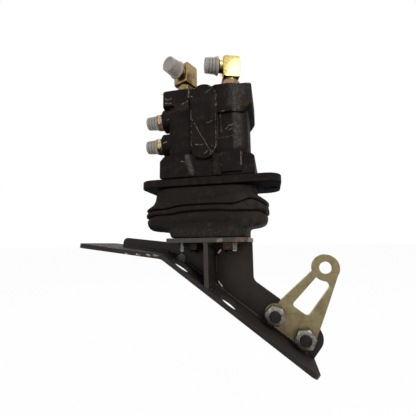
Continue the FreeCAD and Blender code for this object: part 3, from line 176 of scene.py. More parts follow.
class Finish(Nodes):
    """A material on the Principled shader."""

    def __init__(self, name, **surface):
        self.material = bpy.data.materials.new(name)
        self.material.use_nodes = True
        super().__init__(self.material.node_tree)
        self.shader = self.tree.nodes["Principled BSDF"]
        for socket, value in surface.items():
            self.set(socket.replace("_", " ").title().replace("Ior", "IOR"), value)

    def set(self, socket, value):
        """Gives one of the shader's sockets a number, a colour or a wire."""
        self.join(value, self.shader.inputs[socket])

    def place(self, scale=1.0, shift=(0.0, 0.0, 0.0), stretch=(1.0, 1.0, 1.0)):
        """Object coordinates, in units of so many metres."""
        spot = self.node("ShaderNodeTexCoord", {}, {}, "Object")
        size = tuple(side / scale for side in stretch)
        return self.node("ShaderNodeMapping", {}, {"Vector": spot, "Location": shift, "Scale": size})

    def along(self, axis, scale=1.0):
        """One of the object coordinates as a number."""
        spot = self.node("ShaderNodeTexCoord", {}, {}, "Object")
        return self.node("ShaderNodeSeparateXYZ", {}, {"Vector": spot}, axis) / scale

    def grain(self, size, detail=3.0, rough=0.55, shift=(0.0, 0.0, 0.0), stretch=(1.0, 1.0, 1.0)):
        """Noise with features of about that size in metres, from 0 to 1."""
        place = self.place(size, shift, stretch)
        return self.node("ShaderNodeTexNoise", {},
                         {"Vector": place, "Scale": 1.0, "Detail": detail, "Roughness": rough})

    def normal(self):
        """The way the surface faces, before any bump."""
        return self.node("ShaderNodeNewGeometry", {}, {}, "Normal")

    def edges(self, reach):
        """1 where the surface is sharper than a flat one within reach, 0 elsewhere."""
        eased = self.node("ShaderNodeBevel", {"samples": BEVEL_SAMPLES}, {"Radius": reach})
        return (1.0 - self.vector("DOT_PRODUCT", eased, self.normal(), "Value")).between(0.005, 0.08)

    def tint(self, amount, first, second):
        """first where the amount is 0, second where it is 1."""
        return self.node("ShaderNodeMix", {"data_type": "RGBA"}, {0: amount, 6: first, 7: second}, 2)

    def vector(self, operation, first, second, output="Vector"):
        return self.node("ShaderNodeVectorMath", {"operation": operation}, {0: first, 1: second}, output)

    def facing(self, axis):
        """How squarely the surface faces along an axis, from 0 to 1."""
        return abs(self.node("ShaderNodeSeparateXYZ", {}, {"Vector": self.normal()}, axis))

    def facing_down(self):
        """1 where the surface faces straight down, -1 where it faces up."""
        return 0.0 - self.node("ShaderNodeSeparateXYZ", {}, {"Vector": self.normal()}, 2)

    def seen_along_y(self, unevenness=1.6):
        """Object coordinates in millimetres with no depth, stirred a little so that lines run unevenly."""
        stir = self.node("ShaderNodeTexNoise", {},
                         {"Vector": self.place(2.4 * MM), "Scale": 1.0, "Detail": 3.0}, 1)
        centred = self.vector("SUBTRACT", stir, (0.5, 0.5, 0.5))
        off = self.vector("MULTIPLY", centred, (unevenness, 0.0, unevenness))
        return self.vector("ADD", self.place(MM, stretch=(1.0, 0.0, 1.0)), off)

    def off_line(self, spot, start, end):
        """How far a spot is from a straight line between two places, given across and up."""
        start = Vector((start[0], 0.0, start[1]))
        run = Vector((end[0], 0.0, end[1])) - start
        reach = self.vector("SUBTRACT", spot, tuple(start))
        share = self.vector("DOT_PRODUCT", reach, tuple(run / run.length_squared), "Value")
        nearest = self.node("ShaderNodeVectorMath", {"operation": "SCALE"},
                            {0: tuple(run), "Scale": share.most(0.0).least(1.0)}, "Vector")
        return self.vector("DISTANCE", reach, nearest, "Value")

    def lines(self, spot, paths, width, core=0.35):
        """1 along paths through a few places each, fading to 0 at a width."""
        gaps = [self.off_line(spot, *ends) for path in paths for ends in zip(path, path[1:])]
        nearest = gaps[0]
        for gap in gaps[1:]:
            nearest = nearest.least(gap)
        return 1.0 - nearest.between(width * core, width)

    def bumps(self, height, distance, strength=1.0):
        """Sets the surface's normal from a height, whose full range is a distance in metres."""
        self.set("Normal", self.node("ShaderNodeBump", {},
                                     {"Height": height, "Distance": distance, "Strength": strength},
                                     "Normal"))


def toned(shade, amount):
    """A colour made darker or lighter by a factor."""
    return tuple(min(side * amount, 1.0) for side in shade)


# Wear on the front, as paths through places (across, up) in millimetres.
RUBBED_RIM = [((5, 102.7), (10.7, 99.8), (13, 94), (13, 60), (12.8, 33), (10, 27), (6.6, 23.6))]
RUBBED_FLECKS = [
    ((-15.7, 76), (-15.6, 66), (-13, 63.8)), ((-15.6, 58), (-15.4, 57)), ((-15.7, 51), (-15.3, 50)),
    ((-15.9, 45), (-15.6, 44)), ((-15.7, 41), (-15.5, 35)), ((-19.3, 104.5), (-19.3, 94), (-13, 92)),
    ((-27, 87), (-20, 90)), ((-48, 96.5), (-44, 94), (-40, 96)), ((-48, 91), (-41, 90)),
    ((39, 24.5), (39.2, 10)), ((17.9, 22), (17.6, 25), (20, 25.6)), ((8, 32.7), (8.5, 32.3)),
    ((-51, 44), (-47.6, 45.5)), ((-47, 72.4), (-46, 72.6))]
SCRATCHES = [
    ((-11.6, 60), (-7.3, 52.4), (-3.8, 44.7), (0.5, 38.5), (3.9, 31), (7, 26.4)),
    ((1.6, 94.7), (8.1, 99.1)), ((2.9, 59.3), (5.7, 60.1), (8.6, 61.6)),
    ((-10.3, 35.5), (-6, 35.1), (-1, 34.6)), ((-0.4, 24.2), (3.2, 27.4)),
    ((16.5, 68.8), (17.7, 72.5), (22.4, 72.6)), ((22.6, 53.2), (25.6, 57), (30.5, 57.9)),
    ((26, 51.4), (29.7, 54)), ((-27.3, 18), (-24, 17.7))]
FAINT_LINES = [
    ((13.9, 43.8), (21, 44.2), (29.5, 45.2)), ((17, 68), (17.5, 50)), ((-22, 16), (-21, 24), (-17.5, 27))]
SLANTED_SMEAR = [((-20.5, 23), (-18, 14), (-15.5, 5))]
CHIPPED_RIM = [
    ((-92, -82.5), (-89, -83)), ((-78, -83.6), (-75, -84)), ((-66.5, -84), (-63, -84.6)),
    ((-58, -84.6), (-53.5, -85.2))]
CHIPPED_EDGE = [((13.5, -70), (16.5, -69.5))]


def cast_paint(name, colours, wear, rough, marked=False):
    """Black paint over sand-cast iron: grainy, with dust on top, rubbed bare along its edges and darkened
    with painted shade where it faces down.
    """
    finish = Finish(name, specular_ior_level=0.03)
    sand = finish.grain(1.1 * MM, 4.0, 0.6)
    lumps = finish.grain(7 * MM, 3.0)
    patches = finish.grain(26 * MM, 4.0, 0.6, (3.0, 1.0, 2.0))
    rubbed = finish.edges(0.9 * MM) * finish.grain(3.4 * MM, 5.0, 0.75).between(0.5, 0.64)
    specks = finish.grain(2.0 * MM, 2.0, 0.5, (7.0, 2.0, 5.0)).between(0.72, 0.78)
    bare = (rubbed * 0.55 + specks * 0.4) * wear
    paint = finish.tint(patches.between(0.35, 0.75), colours.paint, colours.faded_paint)
    dust_and_light = finish.tint(lumps.between(0.5, 0.8) * 0.24, paint, colours.dust)
    if marked:
        bare, dust_and_light = placed_wear_and_light(finish, bare, dust_and_light, colours)
    # Painted shade: where the surface faces down, the paint turns to a darker copy of itself.
    below = finish.facing_down().between(0.3, 0.8)
    worn = finish.tint(bare.least(1.0), dust_and_light, colours.bare_iron)
    finish.set("Base Color", finish.tint(below * 0.8, worn, colours.underside_shade_paint))
    finish.set("Roughness", (sand * 0.25 + patches * 0.2 + below * 0.3 + rough * 0.55).least(1.0))
    finish.bumps(sand * 0.5 + lumps * 0.8 - bare.least(1.0) * 0.25, 0.5 * MM, 0.6)
    return finish.material


def placed_wear_and_light(finish, bare, dust_and_light, colours):
    """The scratches, rubbed rims and patches of dust where the real casting has them, on its front, and
    painted light on its right-hand facet and upper block.
    """
    spot = finish.seen_along_y(2.2)
    x = finish.along(0, MM)
    z = finish.along(2, MM)
    front = (0.0 - finish.along(1, MM)).between(25.0, 28.0)
    broken = finish.grain(1.9 * MM, 4.0, 0.75).between(0.44, 0.58)
    flecked = finish.grain(2.6 * MM, 4.0, 0.8).between(0.42, 0.6)
    rim = finish.lines(spot, RUBBED_RIM, 0.7) * broken * 0.7
    flecks = finish.lines(spot, RUBBED_FLECKS, 1.0) * broken * 0.75
    scratched = finish.lines(spot, SCRATCHES, 0.68) * (0.1 + broken * 0.6)
    faint = finish.lines(spot, FAINT_LINES, 0.6) * broken * 0.3
    lines = rim.most(flecks).most(scratched).most(faint)
    # Painted light with some dust: the right-hand facet and the top of the upper block are lightened as if
    # lit by the lamp on the right.
    lit_strip_and_dust = x.between(29.0, 32.5) * (1.0 - x.between(36.0, 44.0)) * z.between(29.0, 35.0)
    upper_light_and_flecks = z.between(77.5, 80.0) * x.between(24.0, 32.0) * (1.0 - x.between(42.0, 47.0) * 0.6)
    upper_light_and_flecks = upper_light_and_flecks * (0.2 + flecked * 0.4) * z.between(80.0, 96.0).most(1.0 - x.between(32.0, 37.0))
    lit_strip_and_dust = (lit_strip_and_dust * (flecked * 0.65 + 0.22)).most(upper_light_and_flecks)
    smear = finish.lines(spot, SLANTED_SMEAR, 4.2, 0.2) * (0.3 + flecked * 0.7)
    brown = z.between(79.0, 82.0) * (1.0 - z.between(86.0, 90.0)) * (1.0 - x.between(-20.0, -17.0)) * flecked
    side = x.between(33.0, 38.0) * z.between(77.5, 79.0) * (1.0 - z.between(84.0, 92.0))
    side = side * (0.3 + flecked * 0.5)
    # Lightens the painted light and the slanted smear of dust towards pale dust.
    dust_and_light = finish.tint((lit_strip_and_dust.most(smear) * front * 0.85).least(1.0), dust_and_light, colours.pale_dust_and_light)
    dust_and_light = finish.tint((brown * 0.8 + side) * front, dust_and_light, colours.brown_dust)
    return bare + lines * front * finish.facing(1).between(0.3, 0.6), dust_and_light


def sheet_paint(name, colours, flat_side=None, edge=0.0, rim_chips=(), edge_chips=()):
    """Half-gloss black paint on plate: scratched, worn along its narrow sides and rusting in its chips."""
    finish = Finish(name, specular_ior_level=0.14)
    orange_peel = finish.grain(1.6 * MM, 2.0)
    patches = finish.grain(30 * MM, 4.0, 0.6, (1.0, 5.0, 2.0))
    chips = finish.edges(0.8 * MM) * finish.grain(3.0 * MM, 5.0, 0.7).between(0.54, 0.64)
    scratches = finish.grain(1.2 * MM, 3.0, 0.6, (0.0, 2.0, 0.0), (0.12, 1.0, 1.0)).between(0.72, 0.77)
    worn = (chips + scratches * 0.3).least(1.0)
    paint = finish.tint(patches.between(0.35, 0.7), colours.sheet_paint, colours.faded_sheet)
    if flat_side is not None:
        narrow = 1.0 - finish.facing(flat_side).between(0.3, 0.6)
        cloud = finish.grain(5 * MM, 4.0, 0.65, (4.0, 0.0, 1.0))
        paint = finish.tint(narrow * (cloud * 0.5 + 0.7).least(1.0) * edge, paint, colours.plate_edge)
        flakes = finish.grain(2.2 * MM, 3.0, 0.7, (0.0, 3.0, 0.0)).between(0.62, 0.68)
        worn = worn.most(narrow * flakes)
    bare = finish.tint(finish.grain(4 * MM, 4.0).between(0.4, 0.6), colours.bare_iron, colours.rust)
    if rim_chips:
        front = (0.0 - finish.along(1, MM)).between(40.0, 41.5)
        ragged = finish.grain(1.8 * MM, 4.0, 0.75).between(0.4, 0.5)
        pale = finish.lines(finish.seen_along_y(2.6), rim_chips, 1.5) * front * ragged
        worn = worn.most(pale * 0.9)
        bare = finish.tint(pale, bare, colours.pale_chip)
    if edge_chips:
        end = finish.along(0, MM).between(27.0, 33.0)
        rusty = narrow * end * finish.grain(4 * MM, 4.0, 0.7).between(0.42, 0.52)
        pale = narrow * finish.lines(finish.seen_along_y(), edge_chips, 2.6) * 0.75
        worn = worn.most(rusty * 0.75).most(pale)
        bare = finish.tint(pale, bare, colours.bare_iron)
    finish.set("Base Color", finish.tint(worn, paint, bare))
    level = finish.facing(2).between(0.4, 0.8)
    finish.set("Roughness", patches * 0.15 + worn * 0.2 + level * 0.35 + 0.32)
    finish.bumps(orange_peel * 0.3 - worn, 0.12 * MM, 0.6)
    return finish.material


def rubber(name, colours):
    """Matt moulded rubber with dust in its creases, scuffs on its folds, dust on its foot and dust with a
    painted highlight on its right side.
    """
    finish = Finish(name, specular_ior_level=0.06)
    skin = finish.grain(0.9 * MM, 3.0)
    blotches = finish.grain(16 * MM, 4.0, 0.6)
    dust = finish.grain(5 * MM, 5.0, 0.7).between(0.5, 0.75) * blotches.between(0.4, 0.65)
    low = (0.0 - finish.along(2, MM)).between(54.0, 60.0)
    low = low * finish.grain(2.6 * MM, 5.0, 0.8).between(0.4, 0.75)
    scuffs = finish.grain(1.5 * MM, 4.0, 0.75, (2.0, 0.0, 1.0)).between(0.6, 0.7)
    # Dust with painted highlight: the right half of the boot is lightened where the light falls on it.
    right = finish.along(0, MM).between(10.0, 50.0) * finish.grain(8 * MM, 4.0, 0.7).between(0.3, 0.7)
    dust_and_highlight = (dust * 0.55).most(low * 0.7).most(scuffs * 0.65).most(right * 0.3)
    finish.set("Base Color", finish.tint(dust_and_highlight, colours.boot, colours.dust))
    finish.set("Roughness", blotches * 0.2 + 0.65)
    finish.bumps(skin + blotches * 0.8, 0.2 * MM, 0.5)
    return finish.material


def plating(name, shade, deep, rough=0.32, mottle=4.0, painted_shade_below=0.0):
    """Zinc plating with a chromate tint, stained in places, with painted shade where it faces down."""
    finish = Finish(name, metallic=1.0)
    cloud = finish.grain(mottle * MM, 4.0, 0.6)
    fine = finish.grain(0.7 * MM, 2.0)
    stain = finish.grain(9 * MM, 4.0, 0.65, (2.0, 7.0, 1.0)).between(0.55, 0.75)
    clouded = finish.tint(cloud.between(0.3, 0.7), shade, deep)
    stained = finish.tint(stain * 0.4, clouded, toned(deep, 0.45))
    # Painted shade: faces that look down turn towards a near-black copy of the deep colour, as far as the
    # last argument asks.
    below = finish.facing_down().between(0.3, 0.7) * painted_shade_below
    finish.set("Base Color", finish.tint(below, stained, toned(deep, 0.12)))
    finish.set("Roughness", cloud * 0.2 + fine * 0.1 + (rough - 0.1))
    finish.bumps(fine + cloud * 0.4, 0.05 * MM, 0.5)
    return finish.material


def milky_plastic(name, colours, mouth, way, depth):
    """Thin translucent polyethylene, darkened in rings of painted shade along its length over the thread
    under it.
    """
    finish = Finish(name, transmission_weight=0.25, ior=1.35)
    cloud = finish.grain(3 * MM, 3.0)
    reach = finish.vector("SUBTRACT", finish.place(MM), tuple(mouth))
    inwards = finish.vector("DOT_PRODUCT", reach, tuple(way), "Value") + cloud * 0.7
    # Painted shade: rings darker along the cap's axis, from a little inside the mouth to its end.
    waves = finish.maths("SINE", inwards * 1.75) * 0.5 + 0.5
    shade_rings = waves.between(0.15, 0.85) * inwards.between(1.5, 3.0) * (1.0 - inwards.between(12.0, 13.2))
    plastic = finish.tint(cloud.between(0.3, 0.7), colours.plastic, toned(colours.plastic, 0.8))
    finish.set("Base Color", finish.tint(shade_rings * depth, plastic, colours.shaded_plastic))
    finish.set("Roughness", cloud * 0.15 + 0.3)
    finish.bumps(cloud, 0.1 * MM, 0.3)
    return finish.material


def rusty_steel(name, shade, pale):
    """Steel under rough, powdery rust."""
    finish = Finish(name, metallic=0.2, specular_ior_level=0.2)
    cloud = finish.grain(2.6 * MM, 5.0, 0.7)
    pits = finish.grain(0.8 * MM, 4.0, 0.7)
    finish.set("Base Color", finish.tint(cloud.between(0.42, 0.62), shade, pale))
    finish.set("Roughness", pits * 0.2 + 0.65)
    finish.bumps(pits + cloud, 0.25 * MM, 0.8)
    return finish.material


def bright_steel(name, shade, rough=0.3):
    """Turned or ground steel with a film of old oil."""
    finish = Finish(name, metallic=1.0)
    film = finish.grain(5 * MM, 4.0, 0.6)
    lines = finish.grain(1.2 * MM, 2.0, 0.5, (0.0, 0.0, 0.0), (1.0, 1.0, 6.0))
    finish.set("Base Color", finish.tint(film.between(0.35, 0.7) * 0.6, shade, toned(shade, 0.5)))
    finish.set("Roughness", film * 0.2 + lines * 0.08 + (rough - 0.1))
    finish.bumps(lines, 0.03 * MM, 0.4)
    return finish.material


def colour(name, description, default):
    """A colour that a user may change."""
    return bpy.props.FloatVectorProperty(
        name=name, description=description, subtype="COLOR", size=3, min=0.0, max=1.0, default=default)


def length(name, description, default):
    """A length that a user may change, in metres."""
    return bpy.props.FloatProperty(
        name=name, description=description, subtype="DISTANCE", unit="LENGTH", min=0.0, default=default)


class PedalValveColours(bpy.types.PropertyGroup):
    """The paints, platings and rubbers."""

    paint: colour("Black paint", "Paint of the casting and the flange", (0.0098, 0.0078, 0.0072))
    # Painted shade: a darker copy of the black paint for faces that look down.
    underside_shade_paint: colour("Unlit paint", "The same paint on oily undersides", (0.0022, 0.0018, 0.0016))
    faded_paint: colour("Faded paint", "The same paint where it has dulled", (0.0160, 0.0130, 0.0118))
    sheet_paint: colour("Plate paint", "Paint of the pedal's plates", (0.0165, 0.0128, 0.0112))
    faded_sheet: colour("Faded plate paint", "The same paint where it has dulled", (0.0245, 0.0192, 0.0165))
    dust: colour("Dust", "Dust and dried mud on paint and rubber", (0.066, 0.056, 0.046))
    # Pale dust, also used as painted light on the casting's lit facets.
    pale_dust_and_light: colour("Dry dust", "Pale dust and bare sand skin on the casting's front", (0.085, 0.078, 0.070))
    brown_dust: colour("Brown dust", "Brownish dirt on the casting's shoulders", (0.040, 0.029, 0.018))
    bare_iron: colour("Bare iron", "Iron where the paint is rubbed off", (0.27, 0.215, 0.165))
    plate_edge: colour("Plate edge", "Worn edge of the plate under the boot", (0.052, 0.044, 0.038))
    pale_chip: colour("Bare metal", "Chips of the foot plate's edge, and bare weld metal", (0.42, 0.37, 0.33))
    rust: colour("Rust", "Rust of chips and of the rusty nut", (0.085, 0.036, 0.017))
    pale_rust: colour("Pale rust", "Lighter, powdery rust", (0.26, 0.155, 0.105))
    boot: colour("Boot rubber", "Rubber of the folded boot", (0.0142, 0.0113, 0.0098))
    gold: colour("Yellow zinc", "Plating of the left elbow and the adapters", (0.40, 0.29, 0.145))
    deep_gold: colour("Deep yellow zinc", "The same plating where it is darker", (0.21, 0.14, 0.055))
    # A brighter copy of the yellow zinc: painted reflection of the light on the right elbow's faces.
    gold_painted_reflection: colour("Bright yellow zinc", "Plating of the right elbow", (0.74, 0.60, 0.20))
    copper: colour("Copper tint", "Reddish plating of the right lock nut", (0.30, 0.19, 0.12))
    bracket: colour("Bracket plating", "Dull plating of the link bracket", (0.23, 0.19, 0.108))
    deep_bracket: colour("Deep bracket plating", "The same where it is stained", (0.165, 0.13, 0.07))
    zinc: colour("Zinc", "Plating of nuts and screws", (0.37, 0.355, 0.335))
    deep_zinc: colour("Stained zinc", "The same where it is stained", (0.17, 0.16, 0.145))
    bolt: colour("Bolt", "Dark oiled steel of the bolts", (0.028, 0.024, 0.022))
    steel: colour("Steel", "Ground and turned steel", (0.52, 0.52, 0.53))
    bronze: colour("Bronze", "Sintered bronze of the bushes", (0.56, 0.37, 0.18))
    plastic: colour("Cap plastic", "Milky plastic of the dust caps", (0.42, 0.38, 0.34))
    shaded_plastic: colour("Shaded cap plastic", "The caps over a thread", (0.16, 0.145, 0.125))
    floor: colour("Floor", "Floor under the part", (0.92, 0.92, 0.92))


class PedalValveSizes(bpy.types.PropertyGroup):
    """The sizes that finish the pieces."""

    cast_edge: length("Cast edge", "Rounding of the casting's edges", 1.3 * MM)
    flange_edge: length("Flange edge", "Rounding of the flange's edges", 1.2 * MM)
    sheet_edge: length("Sheet edge", "Rounding of the plates' edges", 0.5 * MM)
    bead: length("Weld bead", "Radius of the pedal's weld beads", 2.2 * MM)
    floor_height: bpy.props.FloatProperty(
        name="Floor height", description="Height of the floor in the part's frame", subtype="DISTANCE",
        unit="LENGTH", default=-0.262)


def colours():
    return bpy.context.scene.pedal_valve_colours


def sizes():
    return bpy.context.scene.pedal_valve_sizes


def make_finishes():
    """Makes every finish but those of the caps, which differ by their place."""
    c = SimpleNamespace(**{key: tuple(getattr(colours(), key)) for key in PedalValveColours.__annotations__})
    FINISHES.update(
        casting=cast_paint("casting_paint", c, 1.0, 0.75, marked=True),
        flange=cast_paint("flange_paint", c, 0.9, 0.6),
        boot=rubber("boot_rubber", c),
        seal=rubber("seal_rubber", c),
        pedal=sheet_paint("pedal_paint", c),
        foot_plate=sheet_paint("foot_plate_paint", c, rim_chips=CHIPPED_RIM),
        top_plate=sheet_paint("top_plate_paint", c, 2, 1.0, edge_chips=CHIPPED_EDGE),
        gusset=sheet_paint("gusset_paint", c, 0, 0.7),
        rust=rusty_steel("rusty_nut", toned(c.rust, 0.6), toned(c.pale_rust, 0.55)),
        bare_weld=bright_steel("bare_weld", c.pale_chip, 0.5),
        bracket=plating("bracket_plating", c.bracket, c.deep_bracket, 0.46, 9.0),
        zinc=plating("zinc_plating", c.zinc, c.deep_zinc, 0.35, 3.0),
        dull_zinc=plating("dull_zinc_plating", toned(c.deep_zinc, 1.3), toned(c.deep_zinc, 0.6), 0.4, 2.5),
        bolt=bright_steel("bolt_steel", c.bolt, 0.4),
        steel=bright_steel("ground_steel", c.steel),
        spring=bright_steel("spring_wire", toned(c.steel, 0.5), 0.4),
        bronze=bright_steel("bush_bronze", c.bronze, 0.4),
        # The elbows share one plating in two copies: the right one brighter, with a painted reflection of the
        # light, and both with painted shade where they face down.
        left_elbow=plating("left_elbow_plating", c.gold, c.deep_gold, 0.3, 5.0, 0.9),
        right_elbow=plating("right_elbow_plating", c.gold_painted_reflection, c.gold, 0.24, 2.5, 0.85),
        fitting=plating("adapter_plating", toned(c.gold, 0.7), toned(c.deep_gold, 0.6), 0.28, 3.0),
        copper=plating("copper_plating", c.copper, toned(c.copper, 0.6), 0.36, 3.0),
    )


def add(name, data):
    """Makes an object of some data and puts it in the scene."""
    item = bpy.data.objects.new(name, data)
    bpy.context.scene.collection.objects.link(item)
    return item


def joined(node):
    """A CAD node's shape in millimetres, its loose triangles joined into whole faces."""
    shape = bmesh.new()
    shape.from_mesh(NODES[node].data)
    bmesh.ops.scale(shape, vec=(1 / MM, 1 / MM, 1 / MM), verts=shape.verts)
    bmesh.ops.remove_doubles(shape, verts=shape.verts, dist=0.01)
    bmesh.ops.dissolve_limit(shape, angle_limit=math.radians(0.6), verts=shape.verts, edges=shape.edges)
    return shape


def mark_outer_edges(shape, crease, widest_bore=26.0, clear=0.2):
    """Marks the sharp edges on the outside for rounding, so that those within the bores stay as they are."""
    tree = BVHTree.FromBMesh(shape)
    marks = shape.edges.layers.float.new("bevel_weight_edge")
    for edge in shape.edges:
        if edge.is_manifold and edge.calc_face_angle() > math.radians(crease):
            away = (edge.link_faces[0].normal + edge.link_faces[1].normal).normalized()
            middle = (edge.verts[0].co + edge.verts[1].co) / 2
            edge[marks] = 0.0 if tree.ray_cast(middle + away * clear, away, widest_bore)[0] else 1.0


def dressed(name, shape, body, finish, replaced=(), rounding=0.0, crease=32.0, segments=2,
            hollow=False):
    """Makes a piece of a shape in millimetres, in its finish, riding on its body."""
    if hollow:
        mark_outer_edges(shape, crease)
    bmesh.ops.scale(shape, vec=(MM, MM, MM), verts=shape.verts)
    mesh = bpy.data.meshes.new(name)
    shape.to_mesh(mesh)
    shape.free()
    mesh.materials.append(FINISHES[finish])
    mesh.polygons.foreach_set("use_smooth", [True] * len(mesh.polygons))
    mesh.set_sharp_from_angle(angle=math.radians(crease))
    piece = add(name, mesh)
    if rounding:
        bevel = piece.modifiers.new("rounded_edges", "BEVEL")
        bevel.width = rounding
        bevel.segments = segments
        bevel.limit_method = "WEIGHT" if hollow else "ANGLE"
        bevel.angle_limit = math.radians(crease)
        bevel.use_clamp_overlap = False
        bevel.miter_outer = "MITER_SHARP"
        bevel.harden_normals = True
    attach(piece, body)
    if replaced:
        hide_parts(*replaced)
    return piece


def set_free(piece):
    """Takes a piece off its body."""
    del piece["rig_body"]
    piece.parent = None


def coat(finish, *nodes):
    """Gives CAD nodes whose shape is right their finish."""
    for node in nodes:
        mesh = NODES[node].data
        mesh.materials.clear()
        mesh.materials.append(FINISHES[finish])


def aim(shape, spot, direction, turn=0.0):
    """Turns a shape's Z along a direction and carries its origin to a place."""
    place = Matrix.Translation(spot) @ Vector(direction).to_track_quat("Z", "Y").to_matrix().to_4x4()
    bmesh.ops.transform(shape, matrix=place @ Matrix.Rotation(turn, 4, "Z"), verts=shape.verts)
    return shape


def put_in(whole, shape):
    """Adds a shape to another one and frees it."""
    mesh = bpy.data.meshes.new("passing")
    shape.to_mesh(mesh)
    shape.free()
    whole.from_mesh(mesh)
    bpy.data.meshes.remove(mesh)
    return whole


def turned(profile, steps=48):
    """A shape turned about Z from radii and heights, a closed loop unless both ends are on the axis."""
    shape = bmesh.new()
    spots = [shape.verts.new((radius, 0.0, height)) for radius, height in profile]
    lines = [shape.edges.new(pair) for pair in zip(spots, spots[1:])]
    if profile[0][0] > 0 or profile[-1][0] > 0:
        lines.append(shape.edges.new((spots[-1], spots[0])))
    bmesh.ops.spin(shape, geom=spots + lines, axis=(0, 0, 1), cent=(0, 0, 0), angle=math.tau, steps=steps,
                   use_merge=True)
    bmesh.ops.remove_doubles(shape, verts=shape.verts, dist=0.001)
    bmesh.ops.recalc_face_normals(shape, faces=shape.faces)
    return shape


def thread(radius, start, end, pitch, depth=0.6):
    """A thread's outline between two heights, as ridges. Their depth is a share of the pitch."""
    turns = max(1, round((end - start) / pitch))
    step = (end - start) / turns
    line = []
    for turn in range(turns):
        low = start + turn * step
        line += [(radius - depth * step, low), (radius, low + 0.4 * step), (radius, low + 0.6 * step)]
    return line + [(radius - depth * step, end)]


def hexagon(across, height, ends=(True, True), cuts=24, end_face=0.485):
    """A hexagonal nut or head standing on Z = 0, its lower and upper corners turned off at 30 degrees.

    end_face is the radius of the round end faces that this leaves, as a share of the width.
    """
    shape = bmesh.new()
    bmesh.ops.create_circle(shape, cap_ends=True, segments=6, radius=across / math.sqrt(3))
    top = bmesh.ops.extrude_face_region(shape, geom=shape.faces[:])
    risen = [item for item in top["geom"] if isinstance(item, bmesh.types.BMVert)]
    bmesh.ops.translate(shape, vec=(0, 0, height), verts=risen)
    bmesh.ops.recalc_face_normals(shape, faces=shape.faces)
    for wanted, level, way in ((ends[0], 0.0, -1.0), (ends[1], height, 1.0)):
        for step in range(cuts if wanted else 0):
            turn = math.tau * step / cuts
            flat = Vector((math.cos(turn), math.sin(turn), 0.0))
            cut = bmesh.ops.bisect_plane(
                shape, geom=shape.verts[:] + shape.edges[:] + shape.faces[:],
                plane_co=flat * across * end_face + Vector((0, 0, level)),
                plane_no=flat * 0.5 + Vector((0, 0, way * 0.866)), clear_outer=True)
            rim = [item for item in cut["geom_cut"] if isinstance(item, bmesh.types.BMEdge)]
            if rim:
                bmesh.ops.edgeloop_fill(shape, edges=rim)
    return shape


def rounded_block(across, height, radius, easing):
    """A square block standing on Z = 0. Its edges along Y are rounded, and the other sharp ones eased."""
    shape = bmesh.new()
    bmesh.ops.create_cube(shape, size=1.0)
    bmesh.ops.scale(shape, vec=(across, across, height), verts=shape.verts)
    bmesh.ops.translate(shape, vec=(0, 0, height / 2), verts=shape.verts)
    chosen = [edge for edge in shape.edges if abs((edge.verts[0].co - edge.verts[1].co).normalized().y) > 0.9]
    bmesh.ops.bevel(shape, geom=chosen, offset=radius, segments=6, profile=0.5, affect="EDGES", material=-1)
    bmesh.ops.remove_doubles(shape, verts=shape.verts, dist=0.001)
    rims = [edge for edge in shape.edges if edge.is_manifold and edge.calc_face_angle() > math.radians(60)]
    bmesh.ops.bevel(shape, geom=rims, offset=easing, segments=2, profile=0.5, affect="EDGES", material=-1)
    return shape


def pushed_on(shape, rim):
    """Extrudes a rim of edges, and gives the new corners and the new rim."""
    pushed = bmesh.ops.extrude_edge_only(shape, edges=rim)["geom"]
    verts = [item for item in pushed if isinstance(item, bmesh.types.BMVert)]
    rim = [item for item in pushed if isinstance(item, bmesh.types.BMEdge)
           and all(vert in verts for vert in item.verts)]
    return verts, rim


def bead(whole, path, radius, seed, ripple=0.9, wander=0.15, blunt=0.45):
    """A run of weld metal along a path, in ripples that differ a little. Its ends taper to a blunt tip."""
    draw = random.Random(seed)
    points = [Vector(spot) for spot in path]
    run = sum((b - a).length for a, b in zip(points, points[1:]))
    count = max(4, round(run / ripple))
    places = []
    for number in range(count + 1):
        target = run * number / count
        start = 0
        while start < len(points) - 2 and target > (points[start + 1] - points[start]).length:
            target -= (points[start + 1] - points[start]).length
            start += 1
        ahead = (points[start + 1] - points[start]).normalized()
        taper = min(1.0, blunt + 0.9 * min(number, count - number) / 3)
        swell = radius * taper * (draw.uniform(0.9, 1.08) if number % 2 else draw.uniform(0.78, 0.92))
        drift = Vector([draw.uniform(-wander, wander) for _ in range(3)])
        places.append(Matrix.Translation(points[start] + ahead * target + drift)
                      @ ahead.to_track_quat("Z", "Y").to_matrix().to_4x4()
                      @ Matrix.Diagonal((swell, swell, swell, 1)))
    ring = bmesh.ops.create_circle(whole, cap_ends=True, segments=8, radius=1.0)["verts"]
    bmesh.ops.transform(whole, matrix=places[0], verts=ring)
    rim = ring[0].link_faces[0].edges[:]
    for before, after in zip(places, places[1:]):
        verts, rim = pushed_on(whole, rim)
        bmesh.ops.transform(whole, matrix=after @ before.inverted(), verts=verts)
    bmesh.ops.edgeloop_fill(whole, edges=rim)


def around(stops, turn):
    """A smooth curve through (turn, value) stops that closes on itself, turns in degrees."""
    count = len(stops)
    after = next((i for i, (place, _) in enumerate(stops) if place > turn), 0)
    picks = [stops[(after + shift) % count] for shift in (-2, -1, 0, 1)]
    span = (picks[2][0] - picks[1][0]) % 360 or 360
    part = ((turn - picks[1][0]) % 360) / span
    a, b, c, d = (pick[1] for pick in picks)
    return b + 0.5 * part * (c - a + part * (2 * a - 5 * b + 4 * c - d + part * (3 * (b - c) + d - a)))


